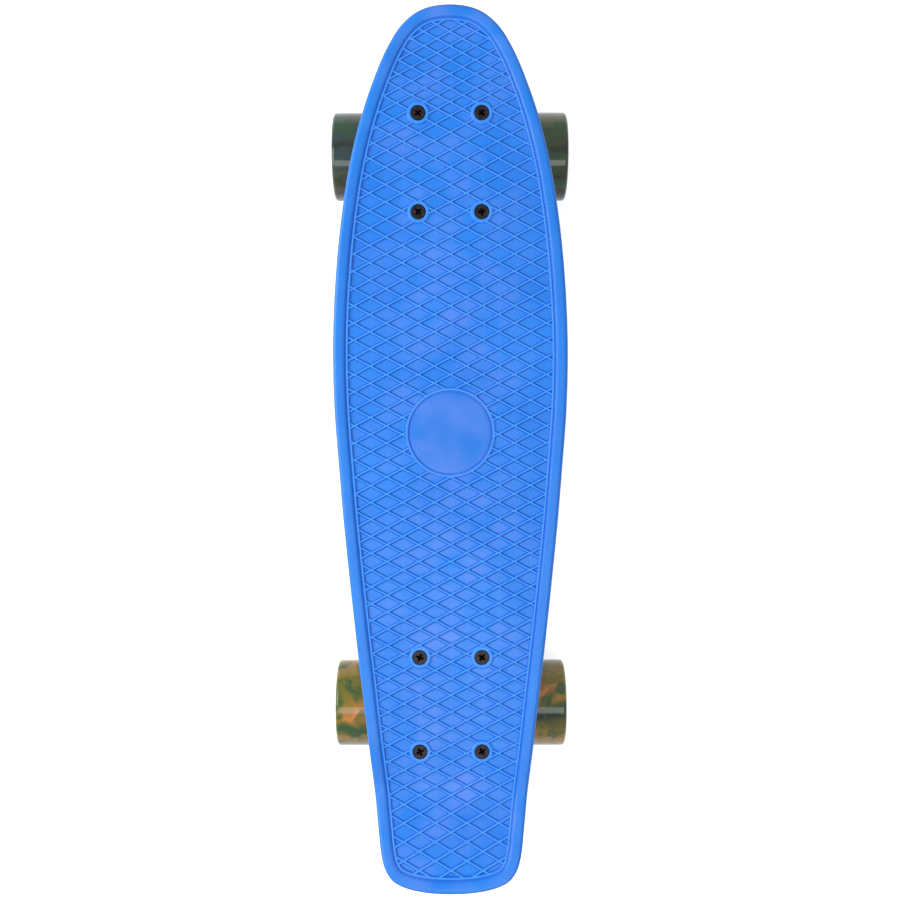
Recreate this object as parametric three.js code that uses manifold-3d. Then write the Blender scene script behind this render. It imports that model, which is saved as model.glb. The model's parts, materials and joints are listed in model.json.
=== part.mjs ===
// Cruiser skateboard: a moulded plastic deck on two sprung steering trucks with four wheels.
// Sizes are in millimetres. The nose points along +Y, +X is the right side, Z = 0 is the ground.

import * as THREE from 'three';
import { mergeVertices } from 'three/addons/utils/BufferGeometryUtils.js';
import Module from 'manifold-3d';

const wasm = await Module();
wasm.setup();

// Clearances
const fitGap = 0.3;
const cutOverrun = 5;

// Deck
const deckLength = 576;
const deckWidth = 153.6;
const panelThickness = 5;
const panelDish = 1.5;
const padThickness = 9;
const padMargin = 4;
const rimWidth = 9.3;
const rimCrown = 2.2;
const rimValley = 0.7;
const borderRidgeWidth = 1.5;
const borderRidgeHeight = 1.2;
const edgeRound = 2.6;
const edgeDepth = 12.5;
const lipThickness = 4;
const lipDraft = 0.6;
const noseBendMargin = 12;
const noseAngle = THREE.MathUtils.degToRad(5);
const noseBlend = 36;
const tailBendMargin = 18.8;
const tailAngle = THREE.MathUtils.degToRad(20.5);
const tailBlend = 19;
const medallionY = 12.6;
const medallionRadius = 29.4;
const medallionRingWidth = 1.6;
const medallionRingHeight = 1.1;
const medallionDiscHeight = 0.5;
const ridgeSlant = THREE.MathUtils.degToRad(28.1);
const ridgePitch = 22.4;
const ridgeFirst = 207.6;
const noseRidgePitch = 17.66;
const noseRidgeFirst = 226.87;
const ridgeFootWidth = 2.4;
const ridgeHeight = 0.9;
const ridgeShortest = 6;
const boltBossRadius = 7.3;
const boltBossHeight = 1.1;
const ribWidth = 2.5;
const ribDepth = 4;
const ribPitch = 33;
const spineOffset = 15;

// Half of the deck's outline from nose to tail, as shares of half the width and half the length
const outlineShares = [
  [0, 1], [0.236, 0.989], [0.401, 0.957], [0.535, 0.903], [0.675, 0.815], [0.779, 0.727],
  [0.862, 0.63], [0.935, 0.501], [0.98, 0.369], [1, 0.232], [0.99, 0.096], [0.953, -0.044],
  [0.92, -0.157], [0.879, -0.272], [0.827, -0.409], [0.768, -0.55], [0.709, -0.692],
  [0.664, -0.787], [0.626, -0.872], [0.6, -0.921], [0.564, -0.951], [0.5, -0.973],
  [0.394, -0.987], [0.21, -0.997], [0, -1],
];
const outlineSteps = 2;
const topColumns = 4;
const undersideColumns = 2;
const ridgeStep = 40;
const bentRidgeStep = 14;
const mergeTolerance = 0.02;
const ridgeCheckStep = 0.25;

// Truck placing and bolt pattern
const frontTruckInset = 99.8;
const rearTruckInset = 119.6;
const truckHeight = 50;
const boltSpacingLong = 63.5;
const boltSpacingWide = 41.3;
const axleOffset = 14;
const steeringAngle = THREE.MathUtils.degToRad(27);

// Baseplate
const baseplateWidth = 54;
const baseplateOuterEnd = 41;
const baseplateInnerEnd = 46;
const baseplateThickness = 5;
const baseplateCorner = 6;
const baseplateRibWidth = 8;
const baseplateRibDepth = 2.5;
const kingpinBossRadius = 13.4;
const kingpinBossHeight = 16;
const pivotHousingRadius = 10.6;

// Kingpin, its nut and the bushing stack
const kingpinRadius = 4.75;
const kingpinSetback = 34.5;
const kingpinHeadFlats = 14.3;
const kingpinHeadHeight = 5.5;
const kingpinHeadSink = 4.7;
const kingpinNutFlats = 14.3;
const kingpinNutHeight = 7.5;
const kingpinTipLength = 2;
const barrelBushingRadius = 11;
const barrelBushingHeight = 13;
const barrelBushingBulge = 0.5;
const coneBushingTopRadius = 10.5;
const coneBushingTipRadius = 8.3;
const coneBushingHeight = 10.5;
const cupWasherThickness = 1.5;
const cupWasherLip = 1.2;
const cupWasherLipWidth = 1;

// Hanger and pivot
const hangerWidth = 88.4;
const hangerTubeRadius = 7.5;
const hangerRingRadius = 15;
const hangerRingWeb = 5;
const hangerSeatDepth = 2;
const hangerBodyWidth = 18;
const hangerArmLength = 33;
const hangerArmHalfDepth = 6;
const hangerWebHalfWidth = 30;
const hangerWebThickness = 7;
const kingpinPlay = 2.2;
const pivotRadius = 5;
const pivotRootLength = 12;
const pivotStemLength = 3;
const pivotCupWall = 2;
const pivotCupDepth = 8;

// Axle, bearings and wheels
const axleRadius = 4;
const axleTip = 1.4;
const axleChamfer = 0.8;
const axleNutFlats = 12.7;
const axleNutHeight = 7;
const speedWasherThickness = 1;
const speedWasherRadius = 6.9;
const bearingRadius = 11;
const bearingWidth = 7;
const bearingRaceThickness = 1.6;
const innerRaceRadius = 6;
const shieldThickness = 0.8;
const spacerLength = 10;
const wheelRadius = 30;
const wheelWidth = 45;
const wheelShoulder = 5;
const wheelShoulderDrop = 1.8;
const wheelLipDrop = 4.5;
const wheelRecessMouth = 19.5;
const wheelInnerLip = 9.2;

// Deck bolts and lock nuts
const boltRadius = 2.4;
const boltHeadRadius = 4.6;
const boltHeadDepth = 2.6;
const boltHeadRim = 0.4;
const boltSink = 0.2;
const boltLength = 25.4;
const boltCrossWidth = 1.1;
const boltCrossReach = 2.5;
const boltCrossDepth = 1.2;
const lockNutFlats = 9.5;
const lockNutHeight = 5;

// Facet counts
const wheelSides = 24;
const bearingSides = 12;
const pinSides = 12;
const bossSides = 16;
const medallionSides = 32;
const domeSteps = 3;

// Places worked out from the sizes
const frontTruckY = deckLength / 2 - frontTruckInset;
const rearTruckY = rearTruckInset - deckLength / 2;
const pivotDistance = hangerArmLength + pivotStemLength + pivotCupDepth;
const kingpinFoot = new THREE.Vector3(0, -kingpinSetback, 0);
const kingpinDown = new THREE.Vector3(0, Math.sin(steeringAngle), -Math.cos(steeringAngle));
const steeringUp = new THREE.Vector3(0, Math.cos(steeringAngle), Math.sin(steeringAngle));
const boardsideWasherAt = kingpinBossHeight + fitGap;
const barrelBushingAt = boardsideWasherAt + cupWasherThickness + fitGap;
const ringAt = barrelBushingAt + barrelBushingHeight + fitGap + hangerRingWeb / 2;
const coneBushingAt = ringAt + hangerRingWeb / 2 + fitGap;
const roadsideWasherAt = coneBushingAt + coneBushingHeight + fitGap;
const kingpinNutAt = roadsideWasherAt + cupWasherThickness + fitGap;
const kingpinEndAt = kingpinNutAt + kingpinNutHeight + kingpinTipLength;
const ringCentre = kingpinFoot.clone().addScaledVector(kingpinDown, ringAt);
const axleCentre = new THREE.Vector3(0, axleOffset, -truckHeight);
const truckTopZ = wheelRadius + truckHeight;
const padFaceZ = truckTopZ + fitGap;
const panelFloorZ = padFaceZ + padThickness;
const noseBendY = frontTruckY + boltSpacingLong / 2 + noseBendMargin;
const tailBendY = rearTruckY - boltSpacingLong / 2 - tailBendMargin;
const sleeveAt = hangerWidth / 2 + fitGap;
const innerBearingAt = sleeveAt + speedWasherThickness;
const outerBearingAt = innerBearingAt + bearingWidth + spacerLength;
const wheelCentreX = innerBearingAt + bearingWidth + spacerLength / 2;
const sleeveLength = 2 * (speedWasherThickness + bearingWidth) + spacerLength;
const axleNutAt = sleeveAt + sleeveLength + fitGap;
const axleHalfLength = axleNutAt + axleNutHeight + axleTip;

const materials = {
  deck: new THREE.MeshStandardMaterial({ color: 0x3f83ee, roughness: 0.42, metalness: 0 }),
  casting: new THREE.MeshStandardMaterial({ color: 0xb9bdc2, roughness: 0.4, metalness: 0.9 }),
  steel: new THREE.MeshStandardMaterial({ color: 0x9a9da1, roughness: 0.3, metalness: 1 }),
  blackSteel: new THREE.MeshStandardMaterial({ color: 0x1c1817, roughness: 0.45, metalness: 0.6 }),
  bushing: new THREE.MeshStandardMaterial({ color: 0x1d5fd0, roughness: 0.5, metalness: 0 }),
  pivotCup: new THREE.MeshStandardMaterial({ color: 0x20242a, roughness: 0.6, metalness: 0 }),
  greenWheel: new THREE.MeshStandardMaterial({ color: 0x3c5a48, roughness: 0.25, metalness: 0 }),
  tanWheel: new THREE.MeshStandardMaterial({ color: 0x96794a, roughness: 0.25, metalness: 0 }),
};

// Geometry helpers

// Keeps only the positions, joins shared corners and turns the faces outward.
function closed(geometry) {
  geometry.deleteAttribute('normal');
  geometry.deleteAttribute('uv');
  const merged = mergeVertices(geometry);
  const place = merged.getAttribute('position');
  const corners = Array.from(merged.index.array);
  const [a, b, c] = [new THREE.Vector3(), new THREE.Vector3(), new THREE.Vector3()];
  const kept = [];
  let volume = 0;
  for (let i = 0; i < corners.length; i += 3) {
    const [ia, ib, ic] = corners.slice(i, i + 3);
    if (ia === ib || ib === ic || ic === ia) continue;
    a.fromBufferAttribute(place, ia);
    b.fromBufferAttribute(place, ib);
    c.fromBufferAttribute(place, ic);
    volume += a.dot(b.cross(c));
    kept.push(ia, ib, ic);
  }
  if (volume < 0) kept.reverse();
  merged.setIndex(kept);
  return merged;
}

function solid(geometry) {
  const merged = closed(geometry);
  return new wasm.Manifold(new wasm.Mesh({
    numProp: 3,
    vertProperties: new Float32Array(merged.getAttribute('position').array),
    triVerts: new Uint32Array(merged.index.array),
  }));
}

function surface(body) {
  const mesh = body.getMesh();
  const geometry = new THREE.BufferGeometry();
  geometry.setAttribute('position', new THREE.Float32BufferAttribute(mesh.vertProperties, 3));
  geometry.setIndex(Array.from(mesh.triVerts));
  return geometry;
}

function node(name, geometry, material) {
  const mesh = new THREE.Mesh(geometry, material);
  mesh.name = name;
  return mesh;
}

// A turned shape about +Y from [radius, height] pairs. A pair list that stays off the axis closes.
function turned(pairs, sides, facetDown = false) {
  const points = pairs.map(([radius, height]) => new THREE.Vector2(radius, height));
  const onAxis = pairs[0][0] === 0;
  if (!onAxis) points.push(points[0].clone());
  return new THREE.LatheGeometry(points, sides, facetDown ? Math.PI / sides : 0);
}

function rod(radius, from, to, sides) {
  return turned([[0, from], [radius, from], [radius, to], [0, to]], sides);
}

function hexPrism(flats, height) {
  const corner = flats / 2 / Math.cos(Math.PI / 6);
  return turned([[0, 0], [corner, 0], [corner, height], [0, height]], 6);
}

function block(low, high) {
  const size = high.map((value, i) => value - low[i]);
  const middle = high.map((value, i) => (value + low[i]) / 2);
  return new THREE.BoxGeometry(...size).translate(...middle);
}

// Turns a shape made about +Y so that +Y follows the direction, and moves its origin.
function aimed(geometry, origin, direction) {
  const turn = new THREE.Quaternion().setFromUnitVectors(new THREE.Vector3(0, 1, 0), direction);
  return geometry.applyQuaternion(turn).translate(origin.x, origin.y, origin.z);
}

const onKingpin = (geometry) => aimed(geometry, kingpinFoot, kingpinDown);
const onSteering = (geometry) => aimed(geometry, ringCentre, steeringUp);
const alongX = (geometry) => geometry.rotateZ(-Math.PI / 2);
const upright = (geometry) => geometry.rotateX(Math.PI / 2);

// Deck

// Height that the bent nose and kicked tail add at a place along the deck.
function bendLift(y) {
  const rise = (distance, angle, blend) => {
    if (distance <= 0) return 0;
    const slope = Math.tan(angle);
    if (distance < blend) return slope * distance * distance / (2 * blend);
    return slope * (distance - blend / 2);
  };
  return rise(y - noseBendY, noseAngle, noseBlend) + rise(tailBendY - y, tailAngle, tailBlend);
}

function deckHeight(x, y) {
  const acrossShare = 2 * x / deckWidth;
  return panelFloorZ + bendLift(y) + panelDish * acrossShare * acrossShare;
}

// The outline's points clockwise from the nose tip, each with the direction into the deck.
function deckOutline() {
  const right = outlineShares.map(([across, along]) => (
    new THREE.Vector3(across * deckWidth / 2, along * deckLength / 2, 0)));
  const left = right.slice(1, -1).reverse().map((point) => new THREE.Vector3(-point.x, point.y, 0));
  const curve = new THREE.CatmullRomCurve3([...right, ...left], true, 'centripetal');
  const count = curve.points.length * outlineSteps;
  return Array.from({ length: count }, (_, i) => {
    const point = curve.getPoint(i / count);
    const tangent = curve.getTangent(i / count);
    return { x: point.x, y: point.y, inX: tangent.y, inY: -tangent.x };
  });
}

// The rim's section as [inset from the edge, height above the panel floor], from the underside
// round the lip and over the crown to the panel.
function rimSection() {
  const arcShare = 1 - Math.SQRT1_2;
  const crownEndShare = 0.55;
  const valleyStartShare = 0.82;
  const ridgeTopShare = 0.3;
  const ridgeFootShare = 0.6;
  const lowEdge = rimCrown - edgeDepth;
  return [
    [lipThickness + lipDraft, -panelThickness],
    [lipThickness, lowEdge],
    [0, lowEdge],
    [0, rimCrown - edgeRound],
    [edgeRound * arcShare, rimCrown - edgeRound * arcShare],
    [edgeRound, rimCrown],
    [rimWidth * crownEndShare, rimCrown],
    [rimWidth * valleyStartShare, rimValley],
    [rimWidth - borderRidgeWidth * ridgeFootShare, rimValley],
    [rimWidth - borderRidgeWidth * ridgeTopShare, borderRidgeHeight],
    [rimWidth + borderRidgeWidth * ridgeTopShare, borderRidgeHeight],
    [rimWidth + borderRidgeWidth * ridgeFootShare, 0],
  ];
}

function deckShell() {
  const outline = deckOutline();
  const count = outline.length;
  const section = rimSection();
  const places = [];
  const faces = [];
  for (const [inset, height] of section) {
    for (const point of outline) {
      const x = point.x + point.inX * inset;
      const y = point.y + point.inY * inset;
      places.push([x, y, deckHeight(x, y) + height]);
    }
  }
  for (let step = 0; step < section.length - 1; step += 1) {
    for (let i = 0; i < count; i += 1) {
      const next = (i + 1) % count;
      const [low, high] = [step * count, (step + 1) * count];
      faces.push([low + i, high + i, high + next], [low + i, high + next, low + next]);
    }
  }
  const addPanel = (ring, height, columns, facesUp) => {
    const half = count / 2;
    const rows = Array.from({ length: half + 1 }, (_, i) => {
      const rightIndex = ring * count + i;
      if (i === 0 || i === half) return Array(columns + 1).fill(rightIndex);
      const [x, y] = places[rightIndex];
      const row = [rightIndex];
      for (let column = 1; column < columns; column += 1) {
        const columnX = x * (1 - 2 * column / columns);
        row.push(places.length);
        places.push([columnX, y, deckHeight(columnX, y) + height]);
      }
      row.push(ring * count + count - i);
      return row;
    });
    for (let i = 0; i < half; i += 1) {
      for (let column = 0; column < columns; column += 1) {
        const [a, b] = [rows[i][column], rows[i][column + 1]];
        const [c, d] = [rows[i + 1][column], rows[i + 1][column + 1]];
        const pair = [[a, b, c], [b, d, c]].filter((face) => new Set(face).size === 3);
        faces.push(...(facesUp ? pair : pair.map((face) => face.reverse())));
      }
    }
  };
  addPanel(section.length - 1, 0, topColumns, true);
  addPanel(0, -panelThickness, undersideColumns, false);
  const geometry = new THREE.BufferGeometry();
  geometry.setAttribute('position', new THREE.Float32BufferAttribute(places.flat(), 3));
  geometry.setIndex(faces.flat());
  return solid(geometry);
}

// Half of the deck's width at a place along it, measured on the outline.
function halfWidthAt(y, outline) {
  const right = outline.slice(0, outline.length / 2 + 1);
  const i = right.findIndex((point) => point.y <= y);
  const [above, below] = [right[i - 1], right[i]];
  return above.x + (below.x - above.x) * (above.y - y) / (above.y - below.y);
}

function boltPlaces(truckY) {
  const places = [];
  for (const along of [boltSpacingLong / 2, -boltSpacingLong / 2]) {
    for (const across of [-boltSpacingWide / 2, boltSpacingWide / 2]) places.push([across, truckY + along]);
  }
  return places;
}

// Cross ribs between the lips and two long ribs between the truck pads.
function deckRibs() {
  const outline = deckOutline();
  const ribs = [];
  const skinDepth = panelThickness / 2;
  const first = Math.ceil((tailBendY - tailBlend) / ribPitch);
  const last = Math.floor((noseBendY + noseBlend / 2) / ribPitch);
  for (let i = first; i <= last; i += 1) {
    const y = i * ribPitch;
    const reach = halfWidthAt(y, outline) - lipThickness / 2;
    const top = panelFloorZ + bendLift(y) - skinDepth;
    const low = panelFloorZ + bendLift(y) - panelThickness - ribDepth + fitGap;
    ribs.push(block([-reach, y - ribWidth / 2, low], [reach, y + ribWidth / 2, top]));
  }
  for (const side of [-1, 1]) {
    const [left, right] = [side * spineOffset - ribWidth / 2, side * spineOffset + ribWidth / 2];
    const low = panelFloorZ - panelThickness - ribDepth + fitGap;
    ribs.push(block([left, rearTruckY, low], [right, frontTruckY, panelFloorZ - skinDepth]));
  }
  return ribs;
}

// Whether a ridge may stand at a place: inside the rim, and off the medallion and the bolt bosses.
function clearOfFittings(x, y, border) {
  const nose = border[0].y;
  const tail = border[border.length / 2].y;
  if (y >= nose || y <= tail || Math.abs(x) > halfWidthAt(y, border)) return false;
  if (Math.hypot(x, y - medallionY) < medallionRadius - medallionRingWidth / 2) return false;
  return ![frontTruckY, rearTruckY].flatMap(boltPlaces).some(([boltX, boltY]) => (
    Math.hypot(x - boltX, y - boltY) < boltBossRadius - fitGap));
}

// A bar from rings of three corners, laid one behind another and closed at both ends.
function bar(rings) {
  const corners = 3;
  const faces = [[0, 1, 2]];
  for (let i = 0; i < rings.length - 1; i += 1) {
    for (let j = 0; j < corners; j += 1) {
      const [a, b] = [i * corners + j, i * corners + (j + 1) % corners];
      faces.push([a, a + corners, b], [b, a + corners, b + corners]);
    }
  }
  const last = (rings.length - 1) * corners;
  faces.push([last, last + 2, last + 1]);
  const geometry = new THREE.BufferGeometry();
  geometry.setAttribute('position', new THREE.Float32BufferAttribute(rings.flat(2), 3));
  geometry.setIndex(faces.flat());
  return geometry;
}

// Every second ridge of the diamond pattern, straight in plan and laid over the bent panel.
function deckRidges() {
  const border = deckOutline().map(({ x, y, inX, inY }) => (
    { x: x + inX * rimWidth, y: y + inY * rimWidth }));
  const reach = deckLength / 2 + deckWidth / 2;
  const crossings = [];
  for (let y = ridgeFirst; y > -reach; y -= ridgePitch) crossings.push(y);
  for (let y = noseRidgeFirst; y < reach; y += noseRidgePitch) crossings.push(y);
  const section = [[-ridgeFootWidth, -ridgeHeight], [ridgeFootWidth, -ridgeHeight], [0, ridgeHeight]];
  const ridges = [];
  for (const slant of [ridgeSlant, -ridgeSlant]) {
    const [runX, runY] = [Math.cos(slant), Math.sin(slant)];
    for (const crossing of crossings) {
      let start = null;
      for (let t = -deckWidth; t <= deckWidth; t += ridgeCheckStep) {
        const free = clearOfFittings(t * runX, crossing + t * runY, border);
        if (free && start === null) start = t;
        if (free || start === null) continue;
        const [from, to] = [start, t - ridgeCheckStep];
        start = null;
        if (to - from < ridgeShortest) continue;
        const tailmost = crossing + Math.min(from * runY, to * runY);
        const step = tailmost < tailBendY ? bentRidgeStep : ridgeStep;
        const steps = Math.ceil((to - from) / step);
        ridges.push(bar(Array.from({ length: steps + 1 }, (_, i) => {
          const along = from + (to - from) * i / steps;
          return section.map(([across, height]) => {
            const x = along * runX - across * runY;
            const y = crossing + along * runY + across * runX;
            return [x, y, deckHeight(x, y) + height];
          });
        })));
      }
    }
  }
  return ridges;
}

function deck() {
  let body = deckShell();
  for (const ridge of deckRidges()) body = body.add(solid(ridge));
  body = body.simplify(mergeTolerance);
  const floorCut = panelFloorZ - panelThickness / 2;
  for (const rib of deckRibs()) body = body.add(solid(rib));
  for (const [truckY, inner, outer] of [
    [frontTruckY, -baseplateInnerEnd, baseplateOuterEnd],
    [rearTruckY, -baseplateOuterEnd, baseplateInnerEnd],
  ]) {
    const padHalf = baseplateWidth / 2 + padMargin;
    body = body.add(solid(block(
      [-padHalf, truckY + inner - padMargin, padFaceZ],
      [padHalf, truckY + outer + padMargin, floorCut],
    )));
    for (const [x, y] of boltPlaces(truckY)) {
      const top = panelFloorZ + boltBossHeight;
      const holeRadius = boltRadius + fitGap;
      const sinkRadius = boltHeadRadius + fitGap;
      const boss = upright(rod(boltBossRadius, floorCut, top, bossSides)).translate(x, y, 0);
      const hole = upright(turned([
        [0, padFaceZ - cutOverrun], [holeRadius, padFaceZ - cutOverrun],
        [holeRadius, top - boltHeadDepth], [sinkRadius, top - boltHeadRim],
        [sinkRadius, top + cutOverrun], [0, top + cutOverrun],
      ], pinSides)).translate(x, y, 0);
      body = body.add(solid(boss)).subtract(solid(hole));
    }
  }
  const ringTop = panelFloorZ + medallionRingHeight;
  const discTop = panelFloorZ + medallionDiscHeight;
  const discRadius = medallionRadius - medallionRingWidth;
  const ring = upright(rod(medallionRadius, floorCut, ringTop, medallionSides));
  const well = upright(rod(discRadius, discTop, ringTop + cutOverrun, medallionSides));
  body = body.add(solid(ring.translate(0, medallionY, 0)));
  body = body.subtract(solid(well.translate(0, medallionY, 0)));
  return node('deck', surface(body), materials.deck);
}

// Truck pieces, in the truck's own frame: the pivot end is at +Y and the baseplate's top at Z = 0

function baseplate() {
  const outline = new THREE.Shape();
  const [left, right] = [-baseplateWidth / 2, baseplateWidth / 2];
  const corner = baseplateCorner;
  outline.moveTo(left + corner, -baseplateInnerEnd);
  outline.absarc(right - corner, corner - baseplateInnerEnd, corner, -Math.PI / 2, 0);
  outline.absarc(right - corner, baseplateOuterEnd - corner, corner, 0, Math.PI / 2);
  outline.absarc(left + corner, baseplateOuterEnd - corner, corner, Math.PI / 2, Math.PI);
  outline.absarc(left + corner, corner - baseplateInnerEnd, corner, Math.PI, Math.PI * 3 / 2);
  const plate = new THREE.ExtrudeGeometry(outline, {
    depth: baseplateThickness, bevelEnabled: false, curveSegments: domeSteps,
  }).translate(0, 0, -baseplateThickness);
  const pivotMouth = pivotDistance - pivotCupDepth - fitGap;
  const housingEnd = pivotDistance + pivotHousingRadius;
  const headEnd = kingpinHeadSink + kingpinHeadHeight + fitGap;
  const headRadius = kingpinHeadFlats / 2 / Math.cos(Math.PI / 6) + fitGap;
  const pocketRadius = pivotRadius + pivotCupWall + 2 * fitGap;
  const ribLow = -baseplateThickness - baseplateRibDepth;
  let body = solid(plate)
    .add(solid(onKingpin(rod(kingpinBossRadius, -cutOverrun, kingpinBossHeight, bossSides))))
    .add(solid(onSteering(rod(pivotHousingRadius, pivotMouth, housingEnd, bossSides))))
    .add(solid(block(
      [-baseplateRibWidth / 2, -kingpinSetback, ribLow],
      [baseplateRibWidth / 2, baseplateOuterEnd - corner, -baseplateThickness / 2],
    )));
  const reach = baseplateWidth + baseplateInnerEnd + baseplateOuterEnd;
  body = body.intersect(solid(block([-reach, -reach, -reach], [reach, reach, 0])));
  body = body.subtract(solid(onKingpin(
    rod(kingpinRadius + fitGap, -cutOverrun, kingpinBossHeight + cutOverrun, pinSides))));
  body = body.subtract(solid(onKingpin(rod(headRadius, -2 * cutOverrun, headEnd, bossSides))));
  const pocket = [[0, pivotMouth - cutOverrun], [pocketRadius, pivotMouth - cutOverrun]];
  pocket.push(...dome(pocketRadius, pivotDistance));
  body = body.subtract(solid(onSteering(turned(pocket, pinSides))));
  for (const [x, y] of boltPlaces(0)) {
    const hole = rod(boltRadius + fitGap, -baseplateThickness - cutOverrun, cutOverrun, pinSides);
    body = body.subtract(solid(upright(hole).translate(x, y, 0)));
  }
  return surface(body);
}

// [radius, height] pairs of a quarter circle that ends on the axis.
function dome(radius, centre) {
  return Array.from({ length: domeSteps + 1 }, (_, i) => {
    const angle = Math.PI / 2 * i / domeSteps;
    return [i === domeSteps ? 0 : radius * Math.cos(angle), centre + radius * Math.sin(angle)];
  });
}

function pivotCup() {
  const outer = pivotRadius + fitGap + pivotCupWall;
  const mouth = pivotDistance - pivotCupDepth;
  const outside = dome(outer, pivotDistance);
  const inside = dome(pivotRadius + fitGap, pivotDistance).reverse();
  const profile = [...outside.reverse(), [outer, mouth], [pivotRadius + fitGap, mouth], ...inside.reverse()];
  return closed(onSteering(turned(profile, pinSides)));
}

function hanger() {
  const away = axleCentre.clone().sub(ringCentre);
  const axleAlong = away.dot(steeringUp);
  const axleBelow = away.dot(kingpinDown);
  const ringDepth = hangerRingWeb + 2 * hangerSeatDepth;
  const near = barrelBushingRadius + 2 * fitGap;
  const [top, bottom] = [ringAt - ringDepth / 2, ringAt + ringDepth / 2];
  const side = new THREE.Shape([
    new THREE.Vector2(near, -ringDepth / 2),
    new THREE.Vector2(hangerArmLength, -hangerArmHalfDepth),
    new THREE.Vector2(hangerArmLength, hangerArmHalfDepth),
    new THREE.Vector2(axleAlong + hangerTubeRadius, axleBelow),
    new THREE.Vector2(axleAlong, axleBelow),
    new THREE.Vector2(near, axleBelow - hangerTubeRadius),
  ]);
  const bodyBasis = new THREE.Matrix4().makeBasis(steeringUp, kingpinDown, new THREE.Vector3(-1, 0, 0));
  const casting = new THREE.ExtrudeGeometry(side, { depth: hangerBodyWidth, bevelEnabled: false })
    .translate(0, 0, -hangerBodyWidth / 2)
    .applyMatrix4(bodyBasis.setPosition(ringCentre));
  const armEnd = ringCentre.clone().addScaledVector(steeringUp, hangerArmLength - hangerArmHalfDepth);
  const webUp = armEnd.sub(axleCentre);
  const webLength = webUp.length();
  const webBasis = new THREE.Matrix4().makeBasis(
    new THREE.Vector3(1, 0, 0), webUp.normalize(), new THREE.Vector3(1, 0, 0).cross(webUp));
  const webShape = new THREE.Shape([
    new THREE.Vector2(-hangerWebHalfWidth, 0),
    new THREE.Vector2(hangerWebHalfWidth, 0),
    new THREE.Vector2(hangerBodyWidth / 2, webLength),
    new THREE.Vector2(-hangerBodyWidth / 2, webLength),
  ]);
  const web = new THREE.ExtrudeGeometry(webShape, { depth: hangerWebThickness, bevelEnabled: false })
    .translate(0, 0, -hangerWebThickness / 2)
    .applyMatrix4(webBasis.setPosition(axleCentre));
  const crossTube = alongX(rod(hangerTubeRadius, -hangerWidth / 2, hangerWidth / 2, bossSides));
  const pivotRoot = hangerArmLength - pivotRootLength;
  const pivot = [[0, pivotRoot], [hangerArmHalfDepth, pivotRoot],
    [hangerArmHalfDepth, hangerArmLength], [pivotRadius, hangerArmLength + fitGap]];
  pivot.push(...dome(pivotRadius, pivotDistance));
  const boreRadius = kingpinRadius + kingpinPlay;
  const bore = alongX(rod(axleRadius + fitGap, -hangerWidth, hangerWidth, pinSides));
  const [cx, cy, cz] = axleCentre.toArray();
  const body = solid(onKingpin(rod(hangerRingRadius, top, bottom, bossSides)))
    .add(solid(casting))
    .add(solid(web))
    .add(solid(crossTube.translate(cx, cy, cz)))
    .add(solid(onSteering(turned(pivot, pinSides))))
    .subtract(solid(onKingpin(rod(boreRadius, top - cutOverrun, bottom + cutOverrun, pinSides))))
    .subtract(solid(onKingpin(rod(
      barrelBushingRadius + fitGap, top - fitGap, top + hangerSeatDepth, bossSides))))
    .subtract(solid(onKingpin(rod(
      coneBushingTopRadius + fitGap, bottom - hangerSeatDepth, bottom + fitGap, bossSides))))
    .subtract(solid(bore.translate(cx, cy, cz)));
  return surface(body);
}

function kingpin() {
  const head = onKingpin(hexPrism(kingpinHeadFlats, kingpinHeadHeight).translate(0, kingpinHeadSink, 0));
  const shankAt = kingpinHeadSink + kingpinHeadHeight / 2;
  const shank = onKingpin(rod(kingpinRadius, shankAt, kingpinEndAt, pinSides));
  return surface(solid(head).add(solid(shank)));
}

function kingpinNut() {
  const hex = onKingpin(hexPrism(kingpinNutFlats, kingpinNutHeight).translate(0, kingpinNutAt, 0));
  const bore = rod(kingpinRadius + fitGap, kingpinNutAt - cutOverrun, kingpinEndAt + cutOverrun, pinSides);
  return surface(solid(hex).subtract(solid(onKingpin(bore))));
}

function barrelBushing() {
  const inner = kingpinRadius + fitGap;
  const [from, to] = [barrelBushingAt, barrelBushingAt + barrelBushingHeight];
  const waist = barrelBushingRadius - barrelBushingBulge;
  const profile = [[inner, from], [waist, from], [barrelBushingRadius, (from + to) / 2],
    [waist, to], [inner, to]];
  return closed(onKingpin(turned(profile, bossSides)));
}

function coneBushing() {
  const inner = kingpinRadius + fitGap;
  const [from, to] = [coneBushingAt, coneBushingAt + coneBushingHeight];
  const straight = from + hangerSeatDepth;
  const profile = [[inner, from], [coneBushingTopRadius, from], [coneBushingTopRadius, straight],
    [coneBushingTipRadius, to], [inner, to]];
  return closed(onKingpin(turned(profile, bossSides)));
}

// A cupped washer whose lip stands round the bushing, on the side that the sign names.
function cupWasher(at, bushingRadius, lipSide) {
  const inner = kingpinRadius + fitGap;
  const lipInner = bushingRadius + fitGap;
  const outer = lipInner + cupWasherLipWidth;
  const [from, to] = [at, at + cupWasherThickness];
  const [flat, lipRoot] = lipSide > 0 ? [from, to] : [to, from];
  const lipEnd = lipRoot + lipSide * cupWasherLip;
  const profile = [[inner, flat], [outer, flat], [outer, lipEnd], [lipInner, lipEnd],
    [lipInner, lipRoot], [inner, lipRoot]];
  return closed(onKingpin(turned(profile, bossSides)));
}

function axle() {
  const [end, radius] = [axleHalfLength, axleRadius];
  const profile = [[0, -end], [radius - axleChamfer, -end], [radius, axleChamfer - end],
    [radius, end - axleChamfer], [radius - axleChamfer, end], [0, end]];
  return closed(alongX(turned(profile, pinSides)).translate(...axleCentre.toArray()));
}

// Wheel-side pieces are made about +Y with 0 at the wheel's middle

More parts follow.
